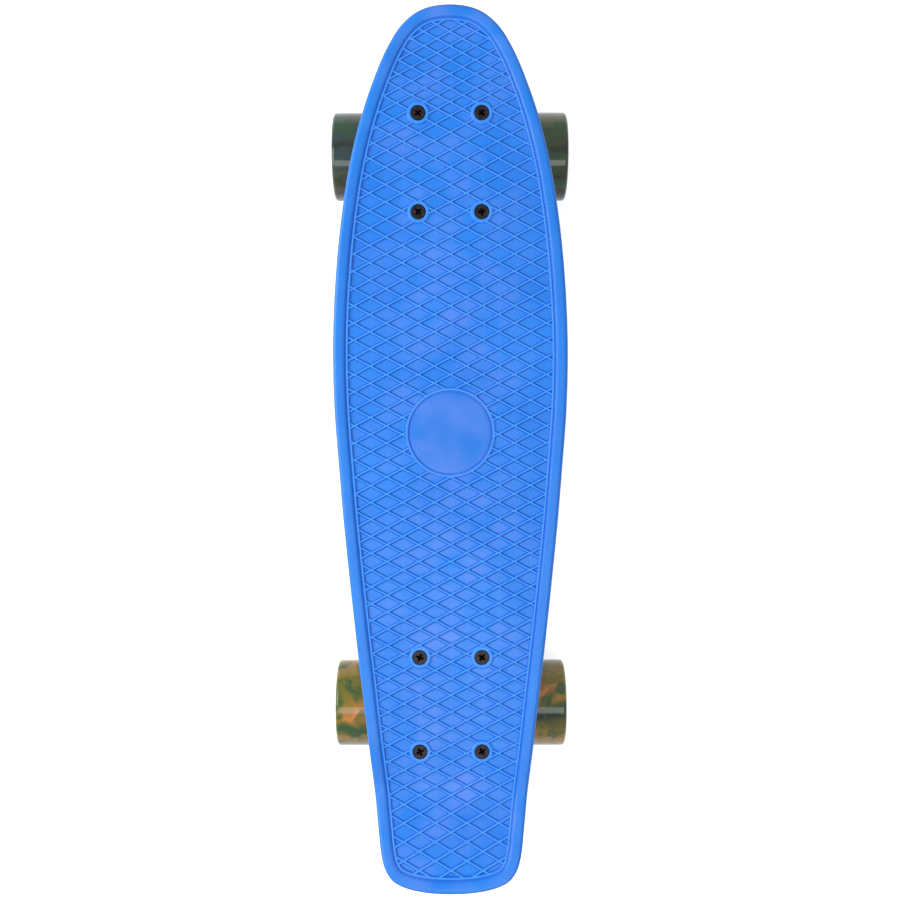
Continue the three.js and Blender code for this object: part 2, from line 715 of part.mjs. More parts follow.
function wheel() {
  const grow = 1 / Math.cos(Math.PI / wheelSides);
  const half = wheelWidth / 2;
  const seat = bearingRadius + fitGap;
  const lipHalf = spacerLength / 2 - fitGap;
  const seatEnd = spacerLength / 2 + bearingWidth + fitGap;
  const tread = wheelRadius * grow;
  const upper = [
    [wheelInnerLip, lipHalf],
    [seat, lipHalf],
    [seat, seatEnd],
    [wheelRecessMouth, half],
    [tread - wheelLipDrop, half],
    [tread - wheelShoulderDrop, half - wheelShoulder / 3],
    [tread, half - wheelShoulder],
  ];
  const lower = upper.map(([radius, height]) => [radius, -height]).reverse();
  return closed(turned([...upper, ...lower], wheelSides, true));
}

// A bearing's outer race with its two thin shields, open towards the inner race.
function outerRace() {
  const half = bearingWidth / 2;
  const shieldEdge = innerRaceRadius + fitGap;
  const raceInner = bearingRadius - bearingRaceThickness;
  const channel = half - shieldThickness;
  return closed(turned([
    [bearingRadius, -half], [bearingRadius, half], [shieldEdge, half], [shieldEdge, channel],
    [raceInner, channel], [raceInner, -channel], [shieldEdge, -channel], [shieldEdge, -half],
  ], bearingSides));
}

// Speed washer, inner race, spacer, inner race and speed washer, clamped as one stack.
function axleSleeve() {
  const inner = axleRadius + fitGap;
  const half = sleeveLength / 2;
  const washerFace = half - speedWasherThickness + fitGap;
  const upper = [[inner, half], [speedWasherRadius, half], [speedWasherRadius, washerFace],
    [innerRaceRadius, washerFace]];
  const lower = upper.map(([radius, height]) => [radius, -height]).reverse();
  return closed(turned([...upper, ...lower], pinSides));
}

function axleNut() {
  const bore = rod(axleRadius + fitGap, -cutOverrun, axleNutHeight + cutOverrun, pinSides);
  return surface(solid(hexPrism(axleNutFlats, axleNutHeight)).subtract(solid(bore)));
}

// Deck bolts are made about +Y with the head's top at 0 and turned upright

function deckBolt() {
  const shankTop = -boltHeadDepth;
  const profile = [[0, -boltLength], [boltRadius, -boltLength], [boltRadius, shankTop],
    [boltHeadRadius, -boltHeadRim], [boltHeadRadius, 0], [0, 0]];
  const [half, reach] = [boltCrossWidth / 2, boltCrossReach];
  const slotA = block([-reach, -boltCrossDepth, -half], [reach, cutOverrun, half]);
  const slotB = block([-half, -boltCrossDepth, -reach], [half, cutOverrun, reach]);
  const body = solid(turned(profile, pinSides)).subtract(solid(slotA)).subtract(solid(slotB));
  return upright(surface(body));
}

function lockNut() {
  const bore = rod(boltRadius + fitGap, -cutOverrun, lockNutHeight + cutOverrun, pinSides);
  return upright(surface(solid(hexPrism(lockNutFlats, lockNutHeight)).subtract(solid(bore))));
}

// Wheel end of a truck: everything on the axle beyond the hanger, on the side that the sign names
function wheelEnd(name, side, wheelMaterial) {
  const end = new THREE.Group();
  end.position.copy(axleCentre);
  end.rotation.z = -side * Math.PI / 2;
  const place = (mesh, along) => {
    mesh.position.y = along;
    end.add(mesh);
  };
  place(node(`${name}_wheel`, wheel(), wheelMaterial), wheelCentreX);
  place(node(`${name}_inboard_bearing`, outerRace(), materials.steel), innerBearingAt + bearingWidth / 2);
  place(node(`${name}_outboard_bearing`, outerRace(), materials.steel), outerBearingAt + bearingWidth / 2);
  place(node(`${name}_axle_sleeve`, axleSleeve(), materials.steel), sleeveAt + sleeveLength / 2);
  place(node(`${name}_axle_nut`, axleNut(), materials.blackSteel), axleNutAt);
  return end;
}

function truckFasteners(name) {
  const group = new THREE.Group();
  const headTop = fitGap + padThickness + boltBossHeight - boltSink;
  boltPlaces(0).forEach(([x, y], i) => {
    const bolt = node(`${name}_deck_bolt_${i + 1}`, deckBolt(), materials.blackSteel);
    bolt.position.set(x, y, headTop);
    const nut = node(`${name}_lock_nut_${i + 1}`, lockNut(), materials.blackSteel);
    nut.position.set(x, y, -baseplateThickness - fitGap - lockNutHeight);
    group.add(bolt, nut);
  });
  return group;
}

// A whole truck. The rear one is turned about, so that both kingpins face the deck's middle.
function truck(name, y, turnedAbout, wheelMaterial) {
  const group = new THREE.Group();
  group.position.set(0, y, truckTopZ);
  group.rotation.z = turnedAbout ? Math.PI : 0;
  const [plusX, minusX] = turnedAbout ? ['left', 'right'] : ['right', 'left'];
  group.add(
    node(`${name}_baseplate`, baseplate(), materials.casting),
    node(`${name}_pivot_cup`, pivotCup(), materials.pivotCup),
    node(`${name}_hanger`, hanger(), materials.casting),
    node(`${name}_axle`, axle(), materials.steel),
    node(`${name}_kingpin`, kingpin(), materials.blackSteel),
    node(`${name}_kingpin_nut`, kingpinNut(), materials.blackSteel),
    node(`${name}_boardside_bushing`, barrelBushing(), materials.bushing),
    node(`${name}_roadside_bushing`, coneBushing(), materials.bushing),
    node(`${name}_boardside_washer`, cupWasher(boardsideWasherAt, barrelBushingRadius, 1), materials.steel),
    node(`${name}_roadside_washer`, cupWasher(roadsideWasherAt, coneBushingTipRadius, -1), materials.steel),
    wheelEnd(`${name}_${plusX}`, 1, wheelMaterial),
    wheelEnd(`${name}_${minusX}`, -1, wheelMaterial),
    truckFasteners(name),
  );
  return group;
}

const skateboard = new THREE.Group();
skateboard.add(deck());
skateboard.add(truck('front', frontTruckY, false, materials.greenWheel));
skateboard.add(truck('rear', rearTruckY, true, materials.tanWheel));

export default skateboard;
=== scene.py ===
"""A moulded plastic cruiser skateboard, dressed for a studio picture.

The file is laid out as an add-on and run as a script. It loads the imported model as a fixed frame, and each
operator makes one piece or one group of like pieces. Shapes are worked out in millimetres and put into
their meshes in metres.
"""

import json
import math
from types import SimpleNamespace

import bpy
import numpy as np
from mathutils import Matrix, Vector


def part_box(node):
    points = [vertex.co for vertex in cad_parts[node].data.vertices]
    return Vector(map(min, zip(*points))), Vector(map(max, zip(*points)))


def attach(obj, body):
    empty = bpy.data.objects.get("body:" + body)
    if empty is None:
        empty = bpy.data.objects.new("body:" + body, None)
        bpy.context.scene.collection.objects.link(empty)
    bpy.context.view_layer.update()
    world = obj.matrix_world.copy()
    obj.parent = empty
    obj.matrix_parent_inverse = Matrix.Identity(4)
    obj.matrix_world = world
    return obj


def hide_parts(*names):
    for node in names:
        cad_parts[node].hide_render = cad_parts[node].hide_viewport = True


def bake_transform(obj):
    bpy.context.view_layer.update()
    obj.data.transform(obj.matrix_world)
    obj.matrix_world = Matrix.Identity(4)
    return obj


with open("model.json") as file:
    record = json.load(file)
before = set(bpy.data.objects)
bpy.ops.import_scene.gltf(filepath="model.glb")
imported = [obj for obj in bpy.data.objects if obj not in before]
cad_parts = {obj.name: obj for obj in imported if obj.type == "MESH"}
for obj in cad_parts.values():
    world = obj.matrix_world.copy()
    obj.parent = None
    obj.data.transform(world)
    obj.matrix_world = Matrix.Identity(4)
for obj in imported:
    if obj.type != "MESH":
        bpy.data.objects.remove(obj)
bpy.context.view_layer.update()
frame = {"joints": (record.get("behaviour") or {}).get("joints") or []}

bl_info = {
    "name": "Cruiser Skateboard",
    "version": (1, 0, 0),
    "blender": (4, 5, 0),
    "location": "View3D > Sidebar > Skateboard",
    "description": "Makes a moulded plastic cruiser skateboard with sprung trucks and marbled wheels",
    "category": "Object",
}

MM = 0.001
ENDS = {"front": 1, "rear": -1}
SIDES = {"right": 1, "left": -1}


def linear(hex_colour):
    """An sRGB hex colour as linear red, green and blue."""
    share = np.array([int(hex_colour[i:i + 2], 16) for i in (1, 3, 5)]) / 255
    return tuple(np.where(share <= 0.04045, share / 12.92, ((share + 0.055) / 1.055) ** 2.4))


# Places read from the frame, in millimetres


def box_of(*nodes):
    """The lowest and highest corner round CAD nodes."""
    corners = np.array([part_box(node) for node in nodes]) / MM
    return corners[:, 0].min(0), corners[:, 1].max(0)


def middle_of(*nodes):
    """The middle of the box round CAD nodes."""
    return sum(box_of(*nodes)) / 2


def truck_place(end):
    """Where a truck stands: its bolt pattern's middle on the baseplate's top, and the steering line's
    slope and its point in the hanger ring, in the truck's own frame, whose +Y points outward."""
    bolts = [f"{end}_deck_bolt_{i}" for i in range(1, 5)]
    origin = np.array([0.0, middle_of(*bolts)[1], box_of(f"{end}_baseplate")[1][2]])
    steer = next(joint for joint in frame["joints"] if joint["name"] == f"{end}_steer")
    axis = np.array(steer["axis"]) * [1, ENDS[end], 1]
    ring = (np.array(steer["pos_m"]) / MM - origin) * [1, ENDS[end], 1]
    axle = (middle_of(f"{end}_axle") - origin) * [1, ENDS[end], 1]
    return SimpleNamespace(
        origin=origin, sign=ENDS[end], up_line=axis, ring=ring, axle=axle,
        down_pin=np.array([0, axis[2], -axis[1]]),
    )


TRUCKS = {end: truck_place(end) for end in ENDS}
DECK_LOW, DECK_HIGH = box_of("deck")
HALF_WIDTH, HALF_LENGTH = DECK_HIGH[0], DECK_HIGH[1]
PAD_HEIGHT = 9.3
PANEL_Z = TRUCKS["front"].origin[2] + PAD_HEIGHT

# Half of the deck's edge from nose to tail, as shares of half the width and half the length
EDGE_SHARES = np.array([
    (0, 1), (0.236, 0.989), (0.401, 0.957), (0.535, 0.903), (0.675, 0.815), (0.779, 0.727),
    (0.862, 0.63), (0.935, 0.501), (0.98, 0.369), (1, 0.232), (0.99, 0.096), (0.953, -0.044),
    (0.92, -0.157), (0.879, -0.272), (0.827, -0.409), (0.768, -0.55), (0.709, -0.692),
    (0.664, -0.787), (0.626, -0.872), (0.6, -0.921), (0.564, -0.951), (0.5, -0.973),
    (0.394, -0.987), (0.21, -0.997), (0, -1),
])


# Sizes and colours that a user would change


def length(name, description, default_mm, low=0.0):
    """A length setting, whose default and lowest value are given in millimetres."""
    return bpy.props.FloatProperty(
        name=name, description=description, default=default_mm * MM, min=low * MM, unit="LENGTH",
        precision=5)


def colour(name, description, hex_colour):
    """A colour setting, whose default is given as sRGB hex."""
    return bpy.props.FloatVectorProperty(
        name=name, description=description, default=linear(hex_colour), size=3, min=0, max=1,
        subtype="COLOR")


def angle(name, description, degrees):
    """An angle setting, whose default is given in degrees."""
    return bpy.props.FloatProperty(
        name=name, description=description, default=math.radians(degrees), subtype="ANGLE")


def factor(name, description, default):
    """A setting from nought to one."""
    return bpy.props.FloatProperty(
        name=name, description=description, default=default, min=0, max=1, subtype="FACTOR")


class DeckSizes(bpy.types.PropertyGroup):
    panel_thickness: length("Panel thickness", "Thickness of the moulded panel", 5)
    dish: length("Dish", "How much higher the panel is at its sides than along its middle", 1.5)
    nose_rise: angle("Nose rise", "Slope of the nose", 5)
    nose_start: length("Nose start", "Distance from the front bolts' middle to the nose bend", 43.75)
    nose_blend: length("Nose blend", "Length over which the nose bends", 36)
    tail_rise: angle("Tail rise", "Slope of the kicked tail", 20.5)
    tail_start: length("Tail start", "Distance from the rear bolts' middle to the tail bend", 50.55)
    tail_blend: length("Tail blend", "Length over which the tail bends", 19)
    medallion_y: length("Medallion place", "How far the medallion is in front of the board's middle", 12.6)
    medallion_radius: length("Medallion radius", "Radius of the medallion over its raised ring", 29.4)
    boss_radius: length("Boss radius", "Radius of the smooth raised ring round each bolt", 7.3)


class RidgeSizes(bpy.types.PropertyGroup):
    pitch: length("Ridge pitch", "Distance along the board between ridge crossings", 11.2, 2)
    first: length("First crossing", "Place of the foremost crossing at the full pitch", 207.6)
    nose_pitch: length("Nose pitch", "The closer distance between crossings on the nose", 8.83, 2)
    nose_first: length("Nose crossing", "Place of the hindmost crossing at the nose pitch", 218.1)
    slant: angle("Ridge slant", "Angle of the ridges to the board's width", 28.1)
    width: length("Ridge width", "Width of a ridge at its foot", 2.9)
    top_width: length("Ridge top width", "Width of a ridge at its top", 1.15)
    height: length("Ridge height", "Height of a ridge over the panel", 0.98)


class TruckSizes(bpy.types.PropertyGroup):
    casting_step: length("Casting step", "Spacing of the grid on which a casting is worked out", 0.8, 0.3)
    fillet: length("Casting fillet", "Reach of the blend where two forms of a casting meet", 5)
    thread_pitch: length("Bolt thread pitch", "Thread pitch of the deck bolts", 0.8, 0.3)
    cross_width: length("Cross width", "Width of the cross recess in a deck bolt", 1.6)
    cross_reach: length("Cross reach", "How far the cross recess reaches from the bolt's middle", 2.5)
    cross_depth: length("Cross depth", "Depth of the cross recess", 1.9)


class WheelSizes(bpy.types.PropertyGroup):
    radius: length("Wheel radius", "Radius of the tread", 30)
    width: length("Wheel width", "Width of a wheel over its faces", 45)
    shoulder: length("Shoulder", "Radius of the rounded shoulder beside the tread", 2.4)
    recess_mouth: length("Recess mouth", "Radius at which the side recess opens", 19.5)
    bearing_radius: length("Bearing radius", "Outer radius of a bearing", 11)
    bearing_width: length("Bearing width", "Width of a bearing", 7)
    spacer: length("Spacer", "Length of the spacer between a wheel's bearings", 10)


class Colours(bpy.types.PropertyGroup):
    deck: colour("Deck", "The moulded blue", "#0E85F1")
    # The violet below is painted reflection, laid in soft patches
    deck_violet: colour("Deck violet", "The violet cast of slowly cooled patches", "#6290F6")
    # The paler blue below is painted highlight on ridge tops and crests
    deck_crest: colour("Deck crest", "The paler blue of rubbed ridge tops", "#3E9CFF")
    # The deep blue below is painted shade in creases, grooves and at ridge feet
    deck_crease: colour("Deck crease", "The deep blue in creases", "#0454CC")
    deck_deep: colour("Deck deep", "The blue where the plastic flowed last", "#067CE8")
    aluminium: colour("Aluminium", "Tumbled cast aluminium", "#C6C8CA")
    steel: colour("Steel", "Ground bearing steel", "#B9BBBE")
    zinc: colour("Zinc", "Bright zinc on steel", "#AEB4B8")
    black_oxide: colour("Black oxide", "Black oxide on steel", "#2E2829")
    bushing: colour("Bushing", "Cast urethane of the bushings", "#1D5FD0")
    cup: colour("Pivot cup", "Black urethane of the pivot cups", "#1B1D20")
    nylon: colour("Nylon", "Nylon collar of a lock nut", "#D9DCE0")
    green_dark: colour("Green dark", "Darkest swirl of the front wheels", "#061C0B")
    green_slate: colour("Green slate", "Slate swirl of the front wheels", "#263F3E")
    green_mid: colour("Green middle", "Leaf green swirl of the front wheels", "#1F5226")
    green_olive: colour("Green olive", "Olive swirl of the front wheels", "#455020")
    green_light: colour("Green light", "Palest swirl of the front wheels", "#77693F")
    tan_dark: colour("Tan dark", "Dark green swirl of the rear wheels", "#0A260E")
    tan_green: colour("Tan green", "Leaf green swirl of the rear wheels", "#2E5822")
    tan_olive: colour("Tan olive", "Olive swirl of the rear wheels", "#746C10")
    tan_sand: colour("Tan sand", "Sand swirl of the rear wheels", "#A27A20")
    tan_orange: colour("Tan orange", "Orange swirl of the rear wheels", "#D8863A")
    floor: colour("Floor", "The studio floor", "#F4F4F4")


class Studio(bpy.types.PropertyGroup):
    camera_height: length("Camera height", "Height of the camera over the floor", 892.7)
    camera_y: length("Camera place", "How far the camera is in front of the board's middle", 46.46)
    camera_x: bpy.props.FloatProperty(
        name="Camera aside", description="How far the camera is to the right of the board's middle line",
        default=-0.3 * MM, unit="LENGTH", precision=5)
    camera_tilt: angle("Camera tilt", "How far the camera looks back from straight down", 3.22)
    camera_turn: angle("Camera turn", "How far the camera is turned about the upright", -0.113)
    lens: bpy.props.FloatProperty(
        name="Lens", description="Focal length", default=48.946, min=10, subtype="DISTANCE_CAMERA")
    ambient: factor("Ambient", "Strength of the light from all round", 0.46)
    key_power: bpy.props.FloatProperty(
        name="Key light", description="Power of the broad light at the left", default=7.4, unit="POWER")
    strip_power: bpy.props.FloatProperty(
        name="Strip light", description="Power of the strip light over the middle", default=3.0,
        unit="POWER")


GROUPS = {
    "deck": DeckSizes, "ridges": RidgeSizes, "trucks": TruckSizes, "wheels": WheelSizes,
    "colours": Colours, "studio": Studio,
}


def group_of(kind, name, description):
    """One group of settings inside another."""
    return bpy.props.PointerProperty(type=kind, name=name, description=description)


class SkateboardSettings(bpy.types.PropertyGroup):
    deck: group_of(DeckSizes, "Deck", "Sizes of the deck")
    ridges: group_of(RidgeSizes, "Ridges", "Sizes of the diamond ridges")
    trucks: group_of(TruckSizes, "Trucks", "Sizes of the truck pieces")
    wheels: group_of(WheelSizes, "Wheels", "Sizes of the wheels")
    colours: group_of(Colours, "Colours", "Colours of the finishes")
    studio: group_of(Studio, "Studio", "Camera and lights")


def settings(name):
    """One group's values by name, with lengths in millimetres."""
    group = getattr(bpy.context.scene.skateboard, name)
    values = {}
    for key in GROUPS[name].__annotations__:
        unit = group.bl_rna.properties[key].unit
        values[key] = getattr(group, key) / MM if unit == "LENGTH" else getattr(group, key)
    return SimpleNamespace(**values)


# Surfaces. A surface is its points, its four-cornered faces and its three-cornered faces


def surface(points, quads=(), tris=()):
    """The three arrays of a surface from anything that numpy reads as such."""
    return (np.asarray(points, float).reshape(-1, 3), np.asarray(quads, int).reshape(-1, 4),
            np.asarray(tris, int).reshape(-1, 3))


def grid_surface(points, wrap_rows=False, wrap_columns=False):
    """A grid of points, rows by columns, with a face between each four neighbours."""
    rows, columns = points.shape[:2]
    index = np.arange(rows * columns).reshape(rows, columns)
    if wrap_rows:
        index = np.vstack([index, index[:1]])
    if wrap_columns:
        index = np.hstack([index, index[:, :1]])
    quads = np.stack([index[:-1, :-1], index[1:, :-1], index[1:, 1:], index[:-1, 1:]], -1)
    return surface(points, quads)


def turned(profile, sides, wrap=False, change=None):
    """A profile of [radius, height] pairs turned about +Z. A pair with no radius at either end is a pole.
    wrap joins the last pair to the first. change(radius, height, angle) returns other radii and heights."""
    profile = np.asarray(profile, float)
    round_angles = np.linspace(0, 2 * np.pi, sides, endpoint=False)
    rings = profile[profile[:, 0] > 0]
    radius, height, around = np.broadcast_arrays(rings[:, :1], rings[:, 1:], round_angles)
    if change:
        radius, height = change(radius, height, around)
    points = np.stack([radius * np.cos(around), radius * np.sin(around), height], -1)
    places, quads, tris = grid_surface(points, wrap_rows=wrap, wrap_columns=True)
    ring = np.arange(sides)
    after = np.roll(ring, -1)
    extra = [tris]
    for at_start, pair in ((True, profile[0]), (False, profile[-1])):
        if pair[0] == 0:
            pole = np.full(sides, len(places))
            near = 0 if at_start else (len(rings) - 1) * sides
            order = (pole, near + ring, near + after) if at_start else (near + ring, pole, near + after)
            extra.append(np.stack(order, -1))
            lift = height[0 if at_start else -1].mean() - rings[0 if at_start else -1][1]
            places = np.vstack([places, [0, 0, pair[1] + (lift if change else 0)]])
    return surface(places, quads, np.vstack(extra))


def outward(shape):
    """The surface with its faces turned out, by the sign of the volume that they enclose."""
    points, quads, tris = shape
    flat = np.vstack([tris, quads[:, [0, 1, 2]], quads[:, [0, 2, 3]]])
    a, b, c = (points[flat[:, i]] for i in range(3))
    if np.einsum("ij,ij->i", a, np.cross(b, c)).sum() < 0:
        quads, tris = quads[:, ::-1], tris[:, ::-1]
    return points, quads, tris


def together(*shapes):
    """Several closed surfaces as one, each with its faces turned out."""
    points, quads, tris, count = [], [], [], 0
    for shape in map(outward, shapes):
        points.append(shape[0])
        quads.append(shape[1] + count)
        tris.append(shape[2] + count)
        count += len(shape[0])
    return np.vstack(points), np.vstack(quads), np.vstack(tris)


def aimed(shape, origin, direction):
    """The surface with its +Z turned to the direction and its origin moved."""
    direction = np.asarray(direction, float) / np.linalg.norm(direction)
    helper = np.array([1.0, 0, 0]) if abs(direction[0]) < 0.9 else np.array([0, 1.0, 0])
    across = helper - direction * (helper @ direction)
    across /= np.linalg.norm(across)
    basis = np.stack([across, np.cross(direction, across), direction])
    return shape[0] @ basis + np.asarray(origin, float), shape[1], shape[2]


def on_truck(shape, end):
    """A surface in a truck's own frame, carried to the board. The rear truck is turned half round."""
    place = TRUCKS[end]
    return shape[0] * [place.sign, place.sign, 1] + place.origin, shape[1], shape[2]


def arc(centre, radius, start, stop, steps):
    """Pairs along a circle's arc, with the angles in degrees."""
    turn = np.radians(np.linspace(start, stop, steps + 1))
    return np.stack([centre[0] + radius * np.cos(turn), centre[1] + radius * np.sin(turn)], -1)


def smooth_step(value, low, high):
    """Nought below the low value, one above the high value and an eased climb between them."""
    share = np.clip((value - low) / (high - low), 0, 1)
    return share * share * (3 - 2 * share)


def piece(name, shape, finishes, body, slot=None, stands_for=(), sharp=34, face_finish=None, painted_light=None):
    """Puts a surface into a mesh in metres, gives it its finish and makes it ride on a CAD body. Its last
    argument holds painted light for each point, from -1 for painted shade in a crease through 0 to 1 for
    painted highlight on a crest."""
    points, quads, tris = shape
    mesh = bpy.data.meshes.new(name)
    mesh.from_pydata((points * MM).tolist(), [], quads.tolist() + tris.tolist())
    mesh.shade_smooth()
    mesh.set_sharp_from_angle(angle=math.radians(sharp))
    for each in np.atleast_1d(finishes):
        mesh.materials.append(finish(each))
    # Painted shade and painted highlight for each point, kept as a point attribute for the finish
    if painted_light is not None:
        shade = mesh.attributes.new("painted_light", "FLOAT", "POINT")
        shade.data.foreach_set("value", np.asarray(painted_light, np.float32))
    if face_finish is not None:
        mesh.polygons.foreach_set("material_index", np.asarray(face_finish, np.int32))
    made = bpy.data.objects.new(name, mesh)
    bpy.context.scene.collection.objects.link(made)
    if body:
        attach(made, body)
    if stands_for:
        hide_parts(*stands_for)
    return made


def capped(points):
    """A tube from a grid of rings, one ring a row, with a fan over each end."""
    rows, columns = points.shape[:2]
    places, quads, tris = grid_surface(points, wrap_columns=True)
    ring = np.arange(columns)
    after = np.roll(ring, -1)
    first, last = np.full(columns, len(places)), np.full(columns, len(places) + 1)
    end = (rows - 1) * columns
    caps = np.vstack([np.stack([first, ring, after], -1), np.stack([end + ring, last, end + after], -1)])
    return np.vstack([places, points[0].mean(0), points[-1].mean(0)]), quads, np.vstack([tris, caps])


def welded(shape):
    """The surface with points in one place joined. A four-cornered face that loses a side by it becomes
    three-cornered."""
    points, quads, tris = shape
    _, first, index = np.unique(np.round(points, 4), axis=0, return_index=True, return_inverse=True)
    quads, tris = index.reshape(-1)[quads], index.reshape(-1)[tris]
    short = quads == np.roll(quads, -1, axis=1)
    kept = quads[~short.any(1)]
    for corner in range(4):
        found = quads[short[:, corner] & (short.sum(1) == 1)]
        tris = np.vstack([tris, np.delete(found, corner, axis=1)])
    return points[first], kept, tris


# Node helper and finishes


def add(tree, kind, inputs=None, stops=(), **values):
    """Adds a node, sets its values and colour stops, and sets each input by its name or number, or links it
    to a socket or to the first live output of another node."""
    node = tree.nodes.new(kind)
    for key, value in values.items():
        setattr(node, key, value)
    for key, value in (inputs or {}).items():
        named = [socket for socket in node.inputs if socket.enabled and socket.name == key]
        socket = named[0] if named else node.inputs[key]
        if isinstance(value, bpy.types.Node):
            value = next(output for output in value.outputs if output.enabled)
        if isinstance(value, bpy.types.NodeSocket):
            tree.links.new(value, socket)
        else:
            socket.default_value = (*value, 1) if socket.type == "RGBA" else value
    for i, (place, colour_there) in enumerate(stops):
        made = node.color_ramp.elements.new(place) if i > 1 else node.color_ramp.elements[i]
        made.position, made.color = place, (*colour_there, 1)
    return node


def new_finish(name):
    """An empty material, its nodes, and the place on the object that its patterns follow."""
    material = bpy.data.materials.new(name)
    material.use_nodes = True
    tree = material.node_tree
    tree.nodes.clear()
    return material, tree, add(tree, "ShaderNodeTexCoord").outputs["Object"]


def shades(name, low=1.0, high=1.0):
    """One of the settings' colours at two strengths, for a pattern to run between."""
    tone = np.array(getattr(settings("colours"), name))
    return [(0.3, tuple(tone * low)), (0.7, tuple(np.minimum(tone * high, 1)))]


def moulded_polypropylene(name):
    """Polypropylene, injection moulded: an even satin blue with soft violet patches painted as reflection of
    the studio lights, strongest along the middle line, with painted highlight on crests and painted shade in
    creases, and a faint waviness that breaks up long reflections."""
    material, tree, place = new_finish(name)
    tones = settings("colours")
    flow = add(tree, "ShaderNodeTexNoise", {"Vector": place, "Scale": 1 / (60 * MM)})
    blue = add(tree, "ShaderNodeValToRGB", {"Fac": flow}, [(0.36, tones.deck_deep), (0.62, tones.deck)])
    # Painted reflection: soft violet patches from a noise, strongest along the middle line and fading
    # towards the sides
    patch = add(tree, "ShaderNodeTexNoise", {"Vector": place, "Scale": 1 / (19 * MM), "Detail": 1.0})
    blotch = add(tree, "ShaderNodeMapRange", {
        "Value": patch, "From Min": 0.34, "From Max": 0.76, "To Max": 0.62})
    aside = add(tree, "ShaderNodeMath", {0: add(tree, "ShaderNodeSeparateXYZ", {"Vector": place})},
                operation="ABSOLUTE")
    middle = add(tree, "ShaderNodeMapRange", {
        "Value": aside, "From Min": 20 * MM, "From Max": 62 * MM, "To Min": 1.0, "To Max": 0.15})
    cast = add(tree, "ShaderNodeMath", {0: blotch, 1: middle}, operation="MULTIPLY")
    mottled = add(tree, "ShaderNodeMix", {"Factor": cast, "A": blue, "B": tones.deck_violet},
                  data_type="RGBA")
    # Painted light from the point attribute: a paler blue painted as highlight on ridge tops and crests, and
    # a deep blue painted as shade in creases, grooves and at ridge feet
    shade = add(tree, "ShaderNodeAttribute", attribute_name="painted_light").outputs["Fac"]
    crest = add(tree, "ShaderNodeMapRange", {"Value": shade, "To Max": 0.85})
    crease = add(tree, "ShaderNodeMapRange", {"Value": shade, "From Max": -1.0, "To Max": 0.88})
    highlight_painted = add(tree, "ShaderNodeMix", {"Factor": crest, "A": mottled, "B": tones.deck_crest},
                 data_type="RGBA")
    shade_painted = add(tree, "ShaderNodeMix", {"Factor": crease, "A": highlight_painted, "B": tones.deck_crease},
                  data_type="RGBA")
    # Real mould grain is about 0.1 mm, drawn at 0.9 mm so that it shows
    grain = add(tree, "ShaderNodeTexNoise", {"Vector": place, "Scale": 1 / (0.9 * MM), "Detail": 1.0})
    wave = add(tree, "ShaderNodeTexNoise", {"Vector": place, "Scale": 1 / (9 * MM), "Detail": 1.0})
    uneven = add(tree, "ShaderNodeMath", {0: grain, 1: wave}, operation="ADD")
    shader = add(tree, "ShaderNodeBsdfPrincipled", {
        "Base Color": shade_painted, "IOR": 1.49,
        "Roughness": add(tree, "ShaderNodeMapRange", {
            "Value": grain, "From Min": 0.3, "From Max": 0.7, "To Min": 0.36, "To Max": 0.5}),
        "Normal": add(tree, "ShaderNodeBump", {"Height": uneven, "Distance": 0.035 * MM})})
    add(tree, "ShaderNodeOutputMaterial", {"Surface": shader})
    return material


def tumbled_aluminium(name):
    """Aluminium, gravity cast and tumbled: pale grey metal, softly mottled, with a fine pebbled skin."""
    material, tree, place = new_finish(name)
    mottle = add(tree, "ShaderNodeTexNoise", {"Vector": place, "Scale": 1 / (6 * MM), "Detail": 3.0})
    # Tumbling pits are about 0.3 mm, drawn at 1.1 mm so that they show
    pebble = add(tree, "ShaderNodeTexNoise", {"Vector": place, "Scale": 1 / (1.1 * MM)})
    shader = add(tree, "ShaderNodeBsdfPrincipled", {
        "Base Color": add(tree, "ShaderNodeValToRGB", {"Fac": mottle}, shades("aluminium", 0.8)),
        "Roughness": add(tree, "ShaderNodeMapRange", {
            "Value": mottle, "From Min": 0.3, "From Max": 0.7, "To Min": 0.34, "To Max": 0.5}),
        "Metallic": 1.0, "Normal": add(tree, "ShaderNodeBump", {"Height": pebble, "Distance": 0.12 * MM})})
    add(tree, "ShaderNodeOutputMaterial", {"Surface": shader})
    return material


def ground_steel(name):
    """Bearing steel, ground: bright, with fine rings from the stone that stretch each highlight."""
    material, tree, place = new_finish(name)
    haze = add(tree, "ShaderNodeTexNoise", {"Vector": place, "Scale": 1 / (3 * MM)})
    # Grinding lines are a few hundredths apart, drawn at 0.5 mm across and 4.5 mm long so that they show
    pulled = add(tree, "ShaderNodeMapping", {"Vector": place, "Scale": (9, 1, 1)})
    lines = add(tree, "ShaderNodeTexNoise", {"Vector": pulled, "Scale": 1 / (4.5 * MM)})
    shader = add(tree, "ShaderNodeBsdfPrincipled", {
        "Base Color": add(tree, "ShaderNodeValToRGB", {"Fac": haze}, shades("steel", 0.86)),
        "Roughness": add(tree, "ShaderNodeMapRange", {
            "Value": lines, "From Min": 0.3, "From Max": 0.7, "To Min": 0.2, "To Max": 0.34}),
        "Metallic": 1.0, "Normal": add(tree, "ShaderNodeBump", {"Height": lines, "Distance": 0.02 * MM})})
    add(tree, "ShaderNodeOutputMaterial", {"Surface": shader})
    return material


